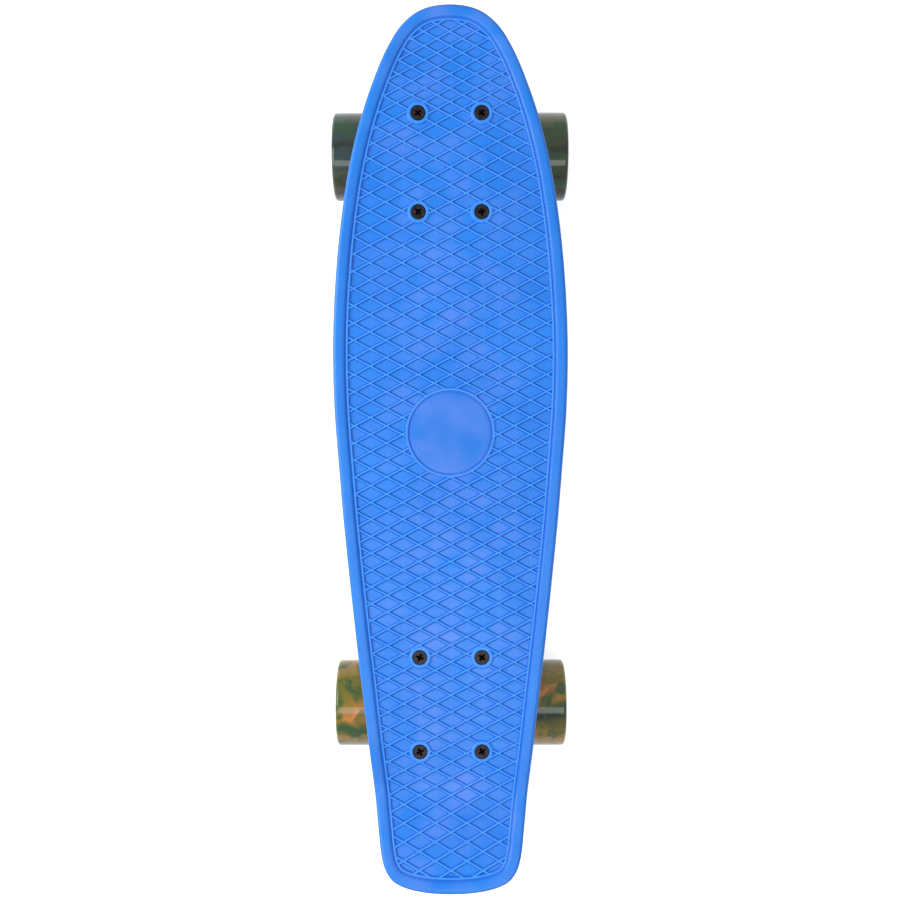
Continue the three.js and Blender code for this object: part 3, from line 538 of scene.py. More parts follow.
def bright_zinc(name):
    """Zinc on steel, electroplated: a cool bright grey with a slightly uneven, passivated bloom."""
    material, tree, place = new_finish(name)
    bloom = add(tree, "ShaderNodeTexNoise", {"Vector": place, "Scale": 1 / (4 * MM), "Detail": 3.0})
    grain = add(tree, "ShaderNodeTexNoise", {"Vector": place, "Scale": 1 / (0.9 * MM), "Detail": 1.0})
    shader = add(tree, "ShaderNodeBsdfPrincipled", {
        "Base Color": add(tree, "ShaderNodeValToRGB", {"Fac": bloom}, shades("zinc", 0.85)),
        "Roughness": add(tree, "ShaderNodeMapRange", {
            "Value": bloom, "From Min": 0.3, "From Max": 0.7, "To Min": 0.26, "To Max": 0.42}),
        "Metallic": 1.0, "Normal": add(tree, "ShaderNodeBump", {"Height": grain, "Distance": 0.02 * MM})})
    add(tree, "ShaderNodeOutputMaterial", {"Surface": shader})
    return material


def black_oxide_steel(name):
    """Steel, black oxided and oiled: brown black, with a low sheen that catches on edges and in recesses."""
    material, tree, place = new_finish(name)
    wear = add(tree, "ShaderNodeTexNoise", {"Vector": place, "Scale": 1 / (1.6 * MM), "Detail": 3.0})
    shader = add(tree, "ShaderNodeBsdfPrincipled", {
        "Base Color": add(tree, "ShaderNodeValToRGB", {"Fac": wear}, shades("black_oxide", 0.7, 1.6)),
        "Roughness": add(tree, "ShaderNodeMapRange", {
            "Value": wear, "From Min": 0.3, "From Max": 0.7, "To Min": 0.3, "To Max": 0.48}),
        "Metallic": 1.0, "Normal": add(tree, "ShaderNodeBump", {"Height": wear, "Distance": 0.015 * MM})})
    add(tree, "ShaderNodeOutputMaterial", {"Surface": shader})
    return material


def cast_urethane(name, tone, rough=0.32):
    """Urethane, cast in an open mould: an even colour with a waxy satin skin and very faint flow marks."""
    material, tree, place = new_finish(name)
    flow = add(tree, "ShaderNodeTexNoise", {"Vector": place, "Scale": 1 / (5 * MM)})
    wax = add(tree, "ShaderNodeTexNoise", {"Vector": place, "Scale": 1 / (1.5 * MM), "Detail": 1.0})
    shader = add(tree, "ShaderNodeBsdfPrincipled", {
        "Base Color": add(tree, "ShaderNodeValToRGB", {"Fac": flow}, shades(tone, 0.82)),
        "Roughness": add(tree, "ShaderNodeMapRange", {
            "Value": flow, "From Min": 0.3, "From Max": 0.7, "To Min": rough, "To Max": rough + 0.12}),
        "IOR": 1.5, "Normal": add(tree, "ShaderNodeBump", {"Height": wax, "Distance": 0.03 * MM})})
    add(tree, "ShaderNodeOutputMaterial", {"Surface": shader})
    return material


def marbled_urethane(name, wheel, layers, blotch, offset):
    """Urethane, poured in layers of several colours that folded into each other as it set: smoky bands
    across the wheel, broken by blotches of one colour, under a glossy skin off a polished mould."""
    material, tree, place = new_finish(name)
    colours = settings("colours")
    low, high = (corner[1] * MM for corner in box_of(wheel))
    # The same offset moves the fold and the smoke, so that no two wheels are alike
    moved = add(tree, "ShaderNodeMapping", {"Vector": place, "Location": tuple(np.array(offset) * MM)})
    fold = add(tree, "ShaderNodeTexNoise", {"Vector": moved, "Scale": 1 / (17 * MM), "Detail": 1.0})
    centred = add(tree, "ShaderNodeVectorMath", {0: fold.outputs["Color"], 1: (0.5, 0.5, 0.5)},
                  operation="SUBTRACT")
    pushed = add(tree, "ShaderNodeVectorMath", {0: centred, "Scale": 26 * MM}, operation="SCALE")
    bent = add(tree, "ShaderNodeVectorMath", {0: place, 1: pushed}, operation="ADD")
    across = add(tree, "ShaderNodeSeparateXYZ", {"Vector": bent}).outputs["Y"]
    share = add(tree, "ShaderNodeMapRange", {"Value": across, "From Min": low, "From Max": high})
    stops = [(at, getattr(colours, tone)) for at, tone in sorted(layers)]
    banded = add(tree, "ShaderNodeValToRGB", {"Fac": share}, stops)
    smoke = add(tree, "ShaderNodeTexNoise", {
        "Vector": add(tree, "ShaderNodeVectorMath", {0: moved, 1: pushed}, operation="ADD"),
        "Scale": 1 / (11 * MM), "Detail": 1.0})
    amount = add(tree, "ShaderNodeMapRange", {
        "Value": smoke, "From Min": 0.46, "From Max": 0.66, "To Max": 0.95})
    mixed = add(tree, "ShaderNodeMix", {"Factor": amount, "A": banded, "B": getattr(colours, blotch)},
                data_type="RGBA")
    # Release wax leaves haze about 2 mm across
    haze = add(tree, "ShaderNodeTexNoise", {"Vector": place, "Scale": 1 / (2 * MM)})
    wave = add(tree, "ShaderNodeTexNoise", {"Vector": place, "Scale": 1 / (7 * MM), "Detail": 1.0})
    shader = add(tree, "ShaderNodeBsdfPrincipled", {
        "Base Color": mixed, "IOR": 1.48,
        "Roughness": add(tree, "ShaderNodeMapRange", {
            "Value": haze, "From Min": 0.3, "From Max": 0.7, "To Min": 0.07, "To Max": 0.13}),
        "Normal": add(tree, "ShaderNodeBump", {"Height": wave, "Distance": 0.03 * MM})})
    add(tree, "ShaderNodeOutputMaterial", {"Surface": shader})
    return material


def moulded_nylon(name):
    """Nylon, moulded and pressed into a nut: milky, faintly waxy, scored where the thread bites."""
    material, tree, place = new_finish(name)
    score = add(tree, "ShaderNodeTexNoise", {"Vector": place, "Scale": 1 / (0.9 * MM)})
    shader = add(tree, "ShaderNodeBsdfPrincipled", {
        "Base Color": add(tree, "ShaderNodeValToRGB", {"Fac": score}, shades("nylon", 0.8)),
        "Roughness": add(tree, "ShaderNodeMapRange", {
            "Value": score, "From Min": 0.3, "From Max": 0.7, "To Min": 0.35, "To Max": 0.5}),
        "IOR": 1.53, "Normal": add(tree, "ShaderNodeBump", {"Height": score, "Distance": 0.03 * MM})})
    add(tree, "ShaderNodeOutputMaterial", {"Surface": shader})
    return material


# Each wheel's layers as shares from its rear to its front, the colour that blotches it, and where in the
# pattern's noise it lies
POURS = {
    "front_left_wheel": ([
        (0, "green_light"), (0.1, "green_dark"), (0.24, "green_olive"), (0.36, "green_slate"),
        (0.52, "green_dark"), (0.64, "green_slate"), (0.8, "green_mid"), (0.93, "green_dark"),
        (1, "green_slate")], "green_slate", (11, 4, 7)),
    "front_right_wheel": ([
        (0, "green_dark"), (0.2, "green_dark"), (0.4, "green_olive"), (0.52, "green_dark"),
        (0.62, "green_olive"), (0.76, "green_mid"), (0.9, "green_light"), (1, "green_light")],
        "green_mid", (3, 38, 20)),
    "rear_left_wheel": ([
        (0, "tan_olive"), (0.14, "tan_sand"), (0.24, "tan_green"), (0.33, "tan_green"),
        (0.4, "tan_olive"), (0.47, "tan_orange"), (0.57, "tan_sand"), (0.68, "tan_olive"),
        (0.84, "tan_olive"), (1, "tan_sand")], "tan_green", (52, 11, 9)),
    "rear_right_wheel": ([
        (0, "tan_sand"), (0.18, "tan_sand"), (0.3, "tan_olive"), (0.42, "tan_dark"),
        (0.6, "tan_dark"), (0.68, "tan_sand"), (0.78, "tan_orange"), (0.88, "tan_olive"),
        (1, "tan_sand")], "tan_green", (8, 23, 31)),
}
FINISHES = {
    "moulded_polypropylene": moulded_polypropylene,
    "tumbled_aluminium": tumbled_aluminium,
    "ground_steel": ground_steel,
    "bright_zinc": bright_zinc,
    "black_oxide_steel": black_oxide_steel,
    "bushing_urethane": lambda name: cast_urethane(name, "bushing"),
    "cup_urethane": lambda name: cast_urethane(name, "cup", 0.45),
    "moulded_nylon": moulded_nylon,
}
FINISHES.update({
    f"marbled_urethane_{wheel.removesuffix('_wheel')}":
        lambda name, wheel=wheel, pour=pour: marbled_urethane(name, wheel, *pour)
    for wheel, pour in POURS.items()
})


def finish(name):
    """The material of that name, made when it is first asked for."""
    return bpy.data.materials.get(name) or FINISHES[name](name)


# Deck


# Sizes of the deck's mould that follow from the CAD model, in millimetres
LIP_ROUND = 0.7
LIP_FOOT_Z = -9.6
LIP_THICKNESS = 4.0
CROWN_RADIUS = 2.6
CROWN_HEIGHT = 2.2
BORDER_INSET = 9.3
HOLE_RADIUS = 2.7
SINK_RADIUS = 4.9
RIDGE_OVERLAP = 0.6
RIDGE_LINES_END = 345
RIDGE_HALF_RUN = 95
RIDGE_PROBE = 0.15
RIDGE_SHORTEST = 1.6
RIDGE_STEP = 3.5
RIB_PITCH = 33
RIB_INSET = 3.2
RIB_WIDTH = 2.3
RIB_DEPTH = 3.7
RIB_SINK = 3
SPINE_OFFSET = 15
PAD_MARGIN = 4
PAD_CORNER = 7
PAD_EASE = 1.2


def edge_curve(steps=8):
    """The deck's edge clockwise from the nose tip, a closed centripetal Catmull-Rom curve through the edge
    shares and their mirror, and at each point the direction square to it and into the deck."""
    right = EDGE_SHARES * [HALF_WIDTH, HALF_LENGTH]
    knots = np.vstack([right, right[-2:0:-1] * [-1, 1]])[:, None]
    before, after, later = np.roll(knots, 1, 0), np.roll(knots, -1, 0), np.roll(knots, -2, 0)
    gap = [np.sqrt(np.linalg.norm(b - a, axis=-1, keepdims=True))
           for a, b in ((before, knots), (knots, after), (after, later))]
    leave = ((knots - before) / gap[0] - (after - before) / (gap[0] + gap[1])) * gap[1] + after - knots
    arrive = ((later - after) / gap[2] - (later - knots) / (gap[1] + gap[2])) * gap[1] + after - knots
    t = np.linspace(0, 1, steps, endpoint=False)[None, :, None]
    spot = ((2 * t**3 - 3 * t**2 + 1) * knots + (t**3 - 2 * t**2 + t) * leave
            + (3 * t**2 - 2 * t**3) * after + (t**3 - t**2) * arrive).reshape(-1, 2)
    along = ((6 * t**2 - 6 * t) * (knots - after) + (3 * t**2 - 4 * t + 1) * leave
             + (3 * t**2 - 2 * t) * arrive).reshape(-1, 2)
    along /= np.linalg.norm(along, axis=1, keepdims=True)
    return spot, np.stack([along[:, 1], -along[:, 0]], -1)


def deck_height(x, y):
    """Height of the panel: level between the trucks, a parabola and then a straight slope where the nose
    and tail bend, and a shallow parabola across the width."""
    sizes = settings("deck")

    def rise(distance, slant, blend):
        climb = np.where(distance < blend, distance**2 / (2 * blend), distance - blend / 2)
        return np.tan(slant) * np.where(distance <= 0, 0, climb)

    nose = rise(y - TRUCKS["front"].origin[1] - sizes.nose_start, sizes.nose_rise, sizes.nose_blend)
    tail = rise(TRUCKS["rear"].origin[1] - sizes.tail_start - y, sizes.tail_rise, sizes.tail_blend)
    return PANEL_Z + nose + tail + sizes.dish * (x / HALF_WIDTH) ** 2


def rim_section(thickness):
    """Pairs of inset from the edge and height over the panel: up the lip's inside, round its foot, up the
    outside, over the rounded crown, down an eased valley and over the border ridge to the panel."""
    lip_inside = [(6.4, -thickness), (5.2, -thickness - 0.15), (4.62, -thickness - 0.7),
                  (4.45, -thickness - 1.6), (4.05, -9.5)]
    foot = np.vstack([arc((LIP_THICKNESS - LIP_ROUND, LIP_FOOT_Z), LIP_ROUND, 0, -90, 3),
                      arc((LIP_ROUND, LIP_FOOT_Z), LIP_ROUND, 270, 180, 3)])
    crown = arc((CROWN_RADIUS, CROWN_HEIGHT - CROWN_RADIUS), CROWN_RADIUS, 180, 90, 9)
    slope = [(4.2, 2.19), (5.4, 2.12), (6.3, 1.99), (6.9, 1.84), (7.3, 1.62), (7.62, 1.3), (7.9, 0.86)]
    border = [(8.3, 0.7), (8.5, 0.78), (8.72, 1.02), (8.98, 1.17), (BORDER_INSET, 1.2), (9.62, 1.17),
              (9.88, 1.0), (10.05, 0.6), (10.16, 0.2), (10.5, 0.02), (11.1, 0.0)]
    return np.vstack([lip_inside, foot, crown, slope, border])


def bolt_holes():
    """For each deck bolt a profile turned about it: a plain bore with a countersunk mouth."""
    profile = [(0, -14), (HOLE_RADIUS, -14), (HOLE_RADIUS, -2.6), (SINK_RADIUS, -0.4), (SINK_RADIUS, 4),
               (0, 4)]
    return together(*[aimed(turned(profile, 48), (place[0], place[1], PANEL_Z), (0, 0, 1))
                      for place in bolt_places().values()])


def cut_away(made, shape):
    """Cuts a surface's inside out of a piece."""
    mesh = bpy.data.meshes.new("cutter")
    mesh.from_pydata((shape[0] * MM).tolist(), [], shape[1].tolist() + shape[2].tolist())
    cutter = bpy.data.objects.new("cutter", mesh)
    bpy.context.scene.collection.objects.link(cutter)
    cut = made.modifiers.new("cut", "BOOLEAN")
    cut.object, cut.operation, cut.solver = cutter, "DIFFERENCE", "EXACT"
    bpy.context.view_layer.objects.active = made
    bpy.ops.object.modifier_apply(modifier=cut.name)
    bpy.data.objects.remove(cutter)


def deck_shell():
    """The rim's section carried round the deck's edge, closed on top and underneath by rows of points from
    each side of the rim to the other."""
    section = rim_section(settings("deck").panel_thickness)
    edge, inward = edge_curve()
    plan = edge + section[:, None, :1] * inward
    x = np.clip(plan[..., 0], -HALF_WIDTH, HALF_WIDTH)
    y = np.clip(plan[..., 1], -HALF_LENGTH, HALF_LENGTH)
    rings = np.stack([x, y, np.minimum(deck_height(x, y) + section[:, None, 1], DECK_HIGH[2])], -1)
    half = rings.shape[1] // 2
    share = np.linspace(0, 1, 25)[None, :, None]
    shapes = [grid_surface(rings, wrap_columns=True)]
    for ring, height, turn in ((rings[-1], 0, -1), (rings[0], section[0, 1], 1)):
        right = ring[:half + 1, None]
        left = np.roll(ring[::-1], 1, 0)[:half + 1, None]
        rows = right + (left - right) * share
        rows[..., 2] = deck_height(rows[..., 0], rows[..., 1]) + height
        panel = grid_surface(rows)
        shapes.append((panel[0], panel[1][:, ::turn], panel[2]))
    counts = np.cumsum([0] + [len(shape[0]) for shape in shapes[:-1]])
    whole = surface(np.vstack([shape[0] for shape in shapes]),
                    np.vstack([shape[1] + count for shape, count in zip(shapes, counts)]))
    return outward(welded(whole))


def painted_light_over_panel(shape, table):
    """Painted light for each point of a deck piece from its height over the panel, read off pairs of height
    and amount: painted shade below nought, painted highlight above."""
    x, y, z = shape[0].T
    return np.interp(z - deck_height(x, y), *zip(*table))


def bolt_places():
    """The middle of each deck bolt, by node name."""
    return {f"{end}_deck_bolt_{i}": middle_of(f"{end}_deck_bolt_{i}") for end in ENDS for i in range(1, 5)}


def clear_of_fittings(x, y):
    """Whether a ridge may stand at a place: inside the border ridge and off the medallion and bosses."""
    sizes = settings("deck")
    edge, inward = edge_curve()
    border = edge + BORDER_INSET * inward
    half = len(border) // 2
    reach = np.interp(y, border[half::-1, 1], border[half::-1, 0])
    low, high = border[half, 1], border[0, 1]
    free = (np.abs(x) < reach) & (y > low) & (y < high)
    free &= np.hypot(x, y - sizes.medallion_y) > sizes.medallion_radius - 0.7
    for place in bolt_places().values():
        free &= np.hypot(x - place[0], y - place[1]) > sizes.boss_radius - 0.5
    return free


def ridge_section(sizes):
    """Pairs of offset and height of a ridge with hollow feet and a rounded top, closed under the panel."""
    foot, top = sizes.width / 2, sizes.top_width / 2
    left = np.array([(-foot, 0.0), (-0.5 * (foot + top), 0.16), (-top - 0.06, 0.5), (-top, 0.8),
                     (-0.55 * top, 0.97)])
    upper = np.vstack([left, (0, 1.0), left[::-1] * [-1, 1]]) * [1, sizes.height]
    return np.vstack([(-foot, -RIDGE_OVERLAP), upper, (foot, -RIDGE_OVERLAP)])


def deck_ridges():
    """Straight ridges in two slants through crossings on the middle line, laid over the bent panel: a
    ridge's section carried along each free stretch of its line."""
    sizes = settings("ridges")
    main = np.arange(sizes.first, -RIDGE_LINES_END, -sizes.pitch)
    nose = np.arange(sizes.nose_first, RIDGE_LINES_END, sizes.nose_pitch)
    section = ridge_section(sizes)
    bars = []
    for slant in (1, -1):
        run = np.array([math.cos(sizes.slant), slant * math.sin(sizes.slant)])
        square = np.array([-run[1], run[0]])
        for crossing in np.concatenate([main, nose]):
            t = np.arange(-RIDGE_HALF_RUN, RIDGE_HALF_RUN, RIDGE_PROBE)
            free = clear_of_fittings(t * run[0], crossing + t * run[1])
            ends = np.flatnonzero(np.diff(np.concatenate([[0], free.astype(int), [0]])))
            for start, stop in zip(t[ends[::2]], t[ends[1::2] - 1]):
                if stop - start < RIDGE_SHORTEST:
                    continue
                steps = np.linspace(start, stop, max(3, int((stop - start) / RIDGE_STEP) + 2))
                plan = np.array([0, crossing]) + steps[:, None, None] * run + section[None, :, :1] * square
                height = deck_height(plan[..., 0], plan[..., 1]) + section[None, :, 1]
                bars.append(capped(np.concatenate([plan, height[..., None]], -1)))
    return together(*bars)


def deck_medallion():
    """A profile turned about the medallion's middle: a plain disc, a groove round it and a rounded ring."""
    radius = settings("deck").medallion_radius
    profile = [(0, 0.56), (8, 0.56), (16, 0.55), (24, 0.54), (radius - 3.0, 0.52), (radius - 2.7, 0.44),
               (radius - 2.5, 0.26), (radius - 2.1, 0.22), (radius - 1.8, 0.3), (radius - 1.62, 0.7),
               (radius - 1.45, 0.98), (radius - 1.15, 1.1), (radius - 0.45, 1.1), (radius - 0.18, 0.98),
               (radius, 0.7), (radius + 0.1, 0.25), (radius + 0.4, 0.1), (radius + 0.4, -0.6), (0, -0.6)]
    return turned(profile, 144)


def deck_boss():
    """A profile turned about a bolt: a flat smooth ring with rounded edges and a countersunk mouth."""
    radius = settings("deck").boss_radius
    return turned([
        (radius + 0.5, -0.5), (radius + 0.4, 0.12), (radius + 0.08, 0.3), (radius - 0.05, 0.75),
        (radius - 0.3, 1.0), (radius - 0.8, 1.1), (5.5, 1.1), (5.2, 1.04), (5.0, 0.85),
        (SINK_RADIUS, 0.5), (SINK_RADIUS, -0.5)], 64, wrap=True)


def rounded_block(low, high, corner, edge, draft=0.0):
    """A block with round upright corners and an eased lower edge: an outline of four quarter circles, drawn
    in as it nears the lower face."""
    low, high = np.asarray(low, float), np.asarray(high, float)
    middle, half = (low + high)[:2] / 2, (high - low)[:2] / 2 - corner
    turn = np.linspace(0, 2 * np.pi, 48, endpoint=False) + np.pi / 48
    way = np.stack([np.cos(turn), np.sin(turn)], -1)
    ease = np.linspace(0, np.pi / 2, 5)
    inset = np.concatenate([[0], draft + edge * (1 - np.cos(ease))])
    height = np.concatenate([[high[2]], low[2] + edge * (1 - np.sin(ease))])
    plan = middle + np.sign(way) * half + way * (corner - inset[:, None, None])
    rings = np.concatenate([plan, np.broadcast_to(height[:, None, None], (*plan.shape[:2], 1))], -1)
    return capped(rings)


def underside_rib(start, stop, width, depth):
    """A tapered rib with a rounded foot along a straight line in plan, hung from the panel's underside."""
    start, stop = np.asarray(start, float), np.asarray(stop, float)
    run = stop - start
    square = np.array([-run[1], run[0]]) / np.linalg.norm(run)
    half = width / 2
    left = np.array([(-half - 0.5, 0.6), (-half - 0.15, -0.5), (-half + 0.25, -depth + 0.6),
                     (-half + 0.6, -depth)])
    section = np.vstack([left, left[::-1] * [-1, 1]])
    steps = np.linspace(0, 1, max(4, int(np.linalg.norm(run) / 6)))
    plan = start + steps[:, None, None] * run + section[None, :, :1] * square
    level = deck_height(0 * plan[..., 0], plan[..., 1]) if abs(run[0]) > abs(run[1]) else PANEL_Z
    height = level - settings("deck").panel_thickness + section[None, :, 1]
    height = np.where(section[None, :, 1] > 0, deck_height(plan[..., 0], plan[..., 1]) - RIB_SINK, height)
    return capped(np.concatenate([plan, height[..., None]], -1))


def deck_underside():
    """Cross ribs at an even pitch between the lips, two long ribs between the trucks, and a thick pad over
    each truck."""
    sizes = settings("deck")
    edge, inward = edge_curve()
    inner = edge + RIB_INSET * inward
    half = len(inner) // 2
    front, rear = TRUCKS["front"].origin[1], TRUCKS["rear"].origin[1]
    shapes = []
    first = math.ceil((rear - sizes.tail_start - sizes.tail_blend) / RIB_PITCH)
    last = math.floor((front + sizes.nose_start + sizes.nose_blend / 2) / RIB_PITCH)
    for y in range(first * RIB_PITCH, (last + 1) * RIB_PITCH, RIB_PITCH):
        reach = np.interp(y, inner[half::-1, 1], inner[half::-1, 0])
        shapes.append(underside_rib((-reach, y), (reach, y), RIB_WIDTH, RIB_DEPTH))
    for x in (-SPINE_OFFSET, SPINE_OFFSET):
        shapes.append(underside_rib((x, rear), (x, front), RIB_WIDTH, RIB_DEPTH))
    for end, place in TRUCKS.items():
        low, high = box_of(f"{end}_baseplate")
        low = np.array([*low[:2] - PAD_MARGIN, place.origin[2] + 0.3])
        high = np.array([*high[:2] + PAD_MARGIN, PANEL_Z - RIB_SINK])
        shapes.append(rounded_block(low, high, PAD_CORNER, PAD_EASE))
    return together(*shapes)


# Truck castings, worked out as distance fields in the truck's own frame


def fused(a, b, reach):
    """Two distance fields as one, with a fillet where they meet."""
    share = np.clip(0.5 + 0.5 * (b - a) / reach, 0, 1)
    return b + (a - b) * share - reach * share * (1 - share)


def edged(across, along, edge):
    """A distance field from how far a place is past a form's side and past its end, with a rounded edge."""
    outside = np.hypot(np.maximum(across + edge, 0), np.maximum(along + edge, 0))
    return outside + np.minimum(np.maximum(across, along) + edge, 0) - edge


def rod_field(places, origin, line, radius, start, stop, edge=0.0, taper=0.0):
    """Distance to a rod along a line between two stations, wider towards its start by the taper."""
    away = places - origin
    along = away @ line
    across = np.linalg.norm(away - along[..., None] * line, axis=-1)
    side = across - radius - taper * (stop - along)
    return edged(side, np.abs(along - (start + stop) / 2) - (stop - start) / 2, edge)


def outline_field(u, v, corners):
    """Distance in a plane to a many-cornered outline, less than nought inside it."""
    corners = np.asarray(corners, float)
    best = np.full(u.shape, np.inf)
    inside = np.zeros(u.shape, bool)
    for (au, av), (bu, bv) in zip(corners, np.roll(corners, -1, 0)):
        du, dv = bu - au, bv - av
        share = np.clip(((u - au) * du + (v - av) * dv) / (du * du + dv * dv), 0, 1)
        best = np.minimum(best, np.hypot(u - au - share * du, v - av - share * dv))
        if dv:
            inside ^= ((av > v) != (bv > v)) & (u < du * (v - av) / dv + au)
    return np.where(inside, -best, best)


def field_skin(field, low, high, step):
    """The surface on which a distance field is nought. Each grid cell that it crosses gets one point, the
    mean of its crossed edges moved onto the surface along the field's slope, and each crossed grid edge
    gets a face between its four cells."""
    axes = [np.arange(a, b + step, step) for a, b in zip(low, high)]
    places = np.stack(np.meshgrid(*axes, indexing="ij"), -1)
    value = field(places)
    cells = tuple(n - 1 for n in value.shape)
    total, hits = np.zeros((*cells, 3)), np.zeros(cells)
    crossings = []
    for axis in range(3):
        near, far = np.delete(value, -1, axis), np.delete(value, 0, axis)
        crossed = (near < 0) != (far < 0)
        share = np.where(crossed, near / np.where(near == far, 1, near - far), 0)
        spot = np.delete(places, -1, axis).copy()
        spot[..., axis] += share * step
        crossings.append((axis, crossed, near < 0))
        u, v = [i for i in range(3) if i != axis]
        for du in (0, 1):
            for dv in (0, 1):
                pick = [slice(None)] * 3
                pick[u], pick[v] = slice(du, du + cells[u]), slice(dv, dv + cells[v])
                hit = crossed[tuple(pick)]
                total += np.where(hit[..., None], spot[tuple(pick)], 0)
                hits += hit
    active = hits > 0
    number = np.cumsum(active.reshape(-1)).reshape(active.shape) - 1
    points = total[active] / hits[active][:, None]
    quads = []
    for axis, crossed, enters in crossings:
        u, v = [i for i in range(3) if i != axis]
        pick = [slice(None)] * 3
        pick[u], pick[v] = slice(1, cells[u]), slice(1, cells[v])
        corner = np.argwhere(crossed[tuple(pick)])
        way = enters[tuple(pick)][tuple(corner.T)]
        corner[:, u] += 1
        corner[:, v] += 1
        unit = np.eye(3, dtype=int)
        around = [corner - unit[u] - unit[v], corner - unit[v], corner, corner - unit[u]]
        face = np.stack([number[tuple(cell.T)] for cell in around], -1)
        turn = way if axis != 1 else ~way
        quads.append(np.where(turn[:, None], face, face[:, ::-1]))
    for _ in range(3):
        gap = field(points)
        slope = np.stack([field(points + d) - field(points - d) for d in 0.02 * np.eye(3)], -1) / 0.04
        move = gap[:, None] * slope / np.maximum((slope**2).sum(1), 0.2)[:, None]
        points = points - np.clip(move, -0.4 * step, 0.4 * step)
    return surface(points, np.vstack(quads))


# Sizes of the truck pieces that follow from the CAD model, in millimetres
PIVOT_REACH = 44.0
PIVOT_RADIUS = 5.0
CUP_DEPTH = 8.0
CUP_RADIUS = 7.3
PLATE_CORNER = 6
BOLT_ASIDE = 20.65
BOLT_ALONG = 31.75
KINGPIN_SETBACK = 34.5
KINGPIN_RADIUS = 4.75
KINGPIN_FLATS = 14.3
KINGPIN_END = 58.8
KINGPIN_NUT_AT = 49.3
RING_RADIUS = 15
RING_HALF_HEIGHT = 4.5
RING_BORE = 6.95
BARREL_RADIUS = 11
CONE_RADIUS = 8.3
ARM_LENGTH = 33
TUBE_RADIUS = 7.5
TUBE_HALF_LENGTH = 44.2
AXLE_RADIUS = 4
AXLE_HALF_LENGTH = 79.2
ACROSS = np.array([1.0, 0, 0])
# Each lock nut's flats, height and bore
DECK_NUT = (9.5, 5.0, 2.45)
KINGPIN_NUT = (KINGPIN_FLATS, 7.5, 4.85)
AXLE_NUT = (12.7, 7.0, 4.1)


def baseplate_field(places, end, fillet):
    """A plate with round corners, the kingpin's slanted boss, the pivot's housing and a rib under it, fused
    with fillets, cut level on top and bored for the kingpin, its head and the pivot cup."""
    truck = TRUCKS[end]
    low, high = [(corner - truck.origin) * [1, truck.sign, 1] for corner in box_of(f"{end}_baseplate")]
    reach_in, reach_out = min(low[1], high[1]), max(low[1], high[1])
    x, y, z = places[..., 0], places[..., 1], places[..., 2]
    half = (reach_out - reach_in) / 2
    dx = np.abs(x) - high[0] + PLATE_CORNER
    dy = np.abs(y - (reach_in + reach_out) / 2) - half + PLATE_CORNER
    plan = np.hypot(np.maximum(dx, 0), np.maximum(dy, 0)) + np.minimum(np.maximum(dx, dy), 0) - PLATE_CORNER
    plate = edged(plan, np.abs(z + 1.5) - 3.5, 1.0)
    foot = np.array([0, -KINGPIN_SETBACK, 0])
    boss = rod_field(places, foot, truck.down_pin, 13.4, -12, 16, 1.0, 0.03)
    housing = rod_field(places, truck.ring, truck.up_line, 10.6, PIVOT_REACH - CUP_DEPTH - 0.3, 54.6, 2.5)
    rib = edged(np.abs(x) - 4, np.maximum(np.abs(y) - 35, -7.5 - z), 1.2)
    webs = edged(np.abs(np.abs(x) - 12.5) - 1.7, np.maximum(np.abs(y + 2.5) - 36, -6.8 - z), 0.8)
    shape = fused(fused(fused(plate, rib, 2), fused(boss, housing, fillet), fillet), webs, 2)
    bore = rod_field(places, foot, truck.down_pin, 5.05, -60, 60)
    head = rod_field(places, foot, truck.down_pin, 8.56, -60, 10.5)
    pocket = np.minimum(rod_field(places, truck.ring, truck.up_line, 7.6, 10, PIVOT_REACH),
                        np.linalg.norm(places - truck.ring - PIVOT_REACH * truck.up_line, axis=-1) - 7.6)
    bolts = np.hypot(np.abs(x) - BOLT_ASIDE, np.abs(y) - BOLT_ALONG) - 7.2
    seats = np.maximum(bolts, z + 5)
    for cut in (bore, head, pocket, seats):
        shape = np.maximum(shape, -cut)
    return np.maximum(shape, z)


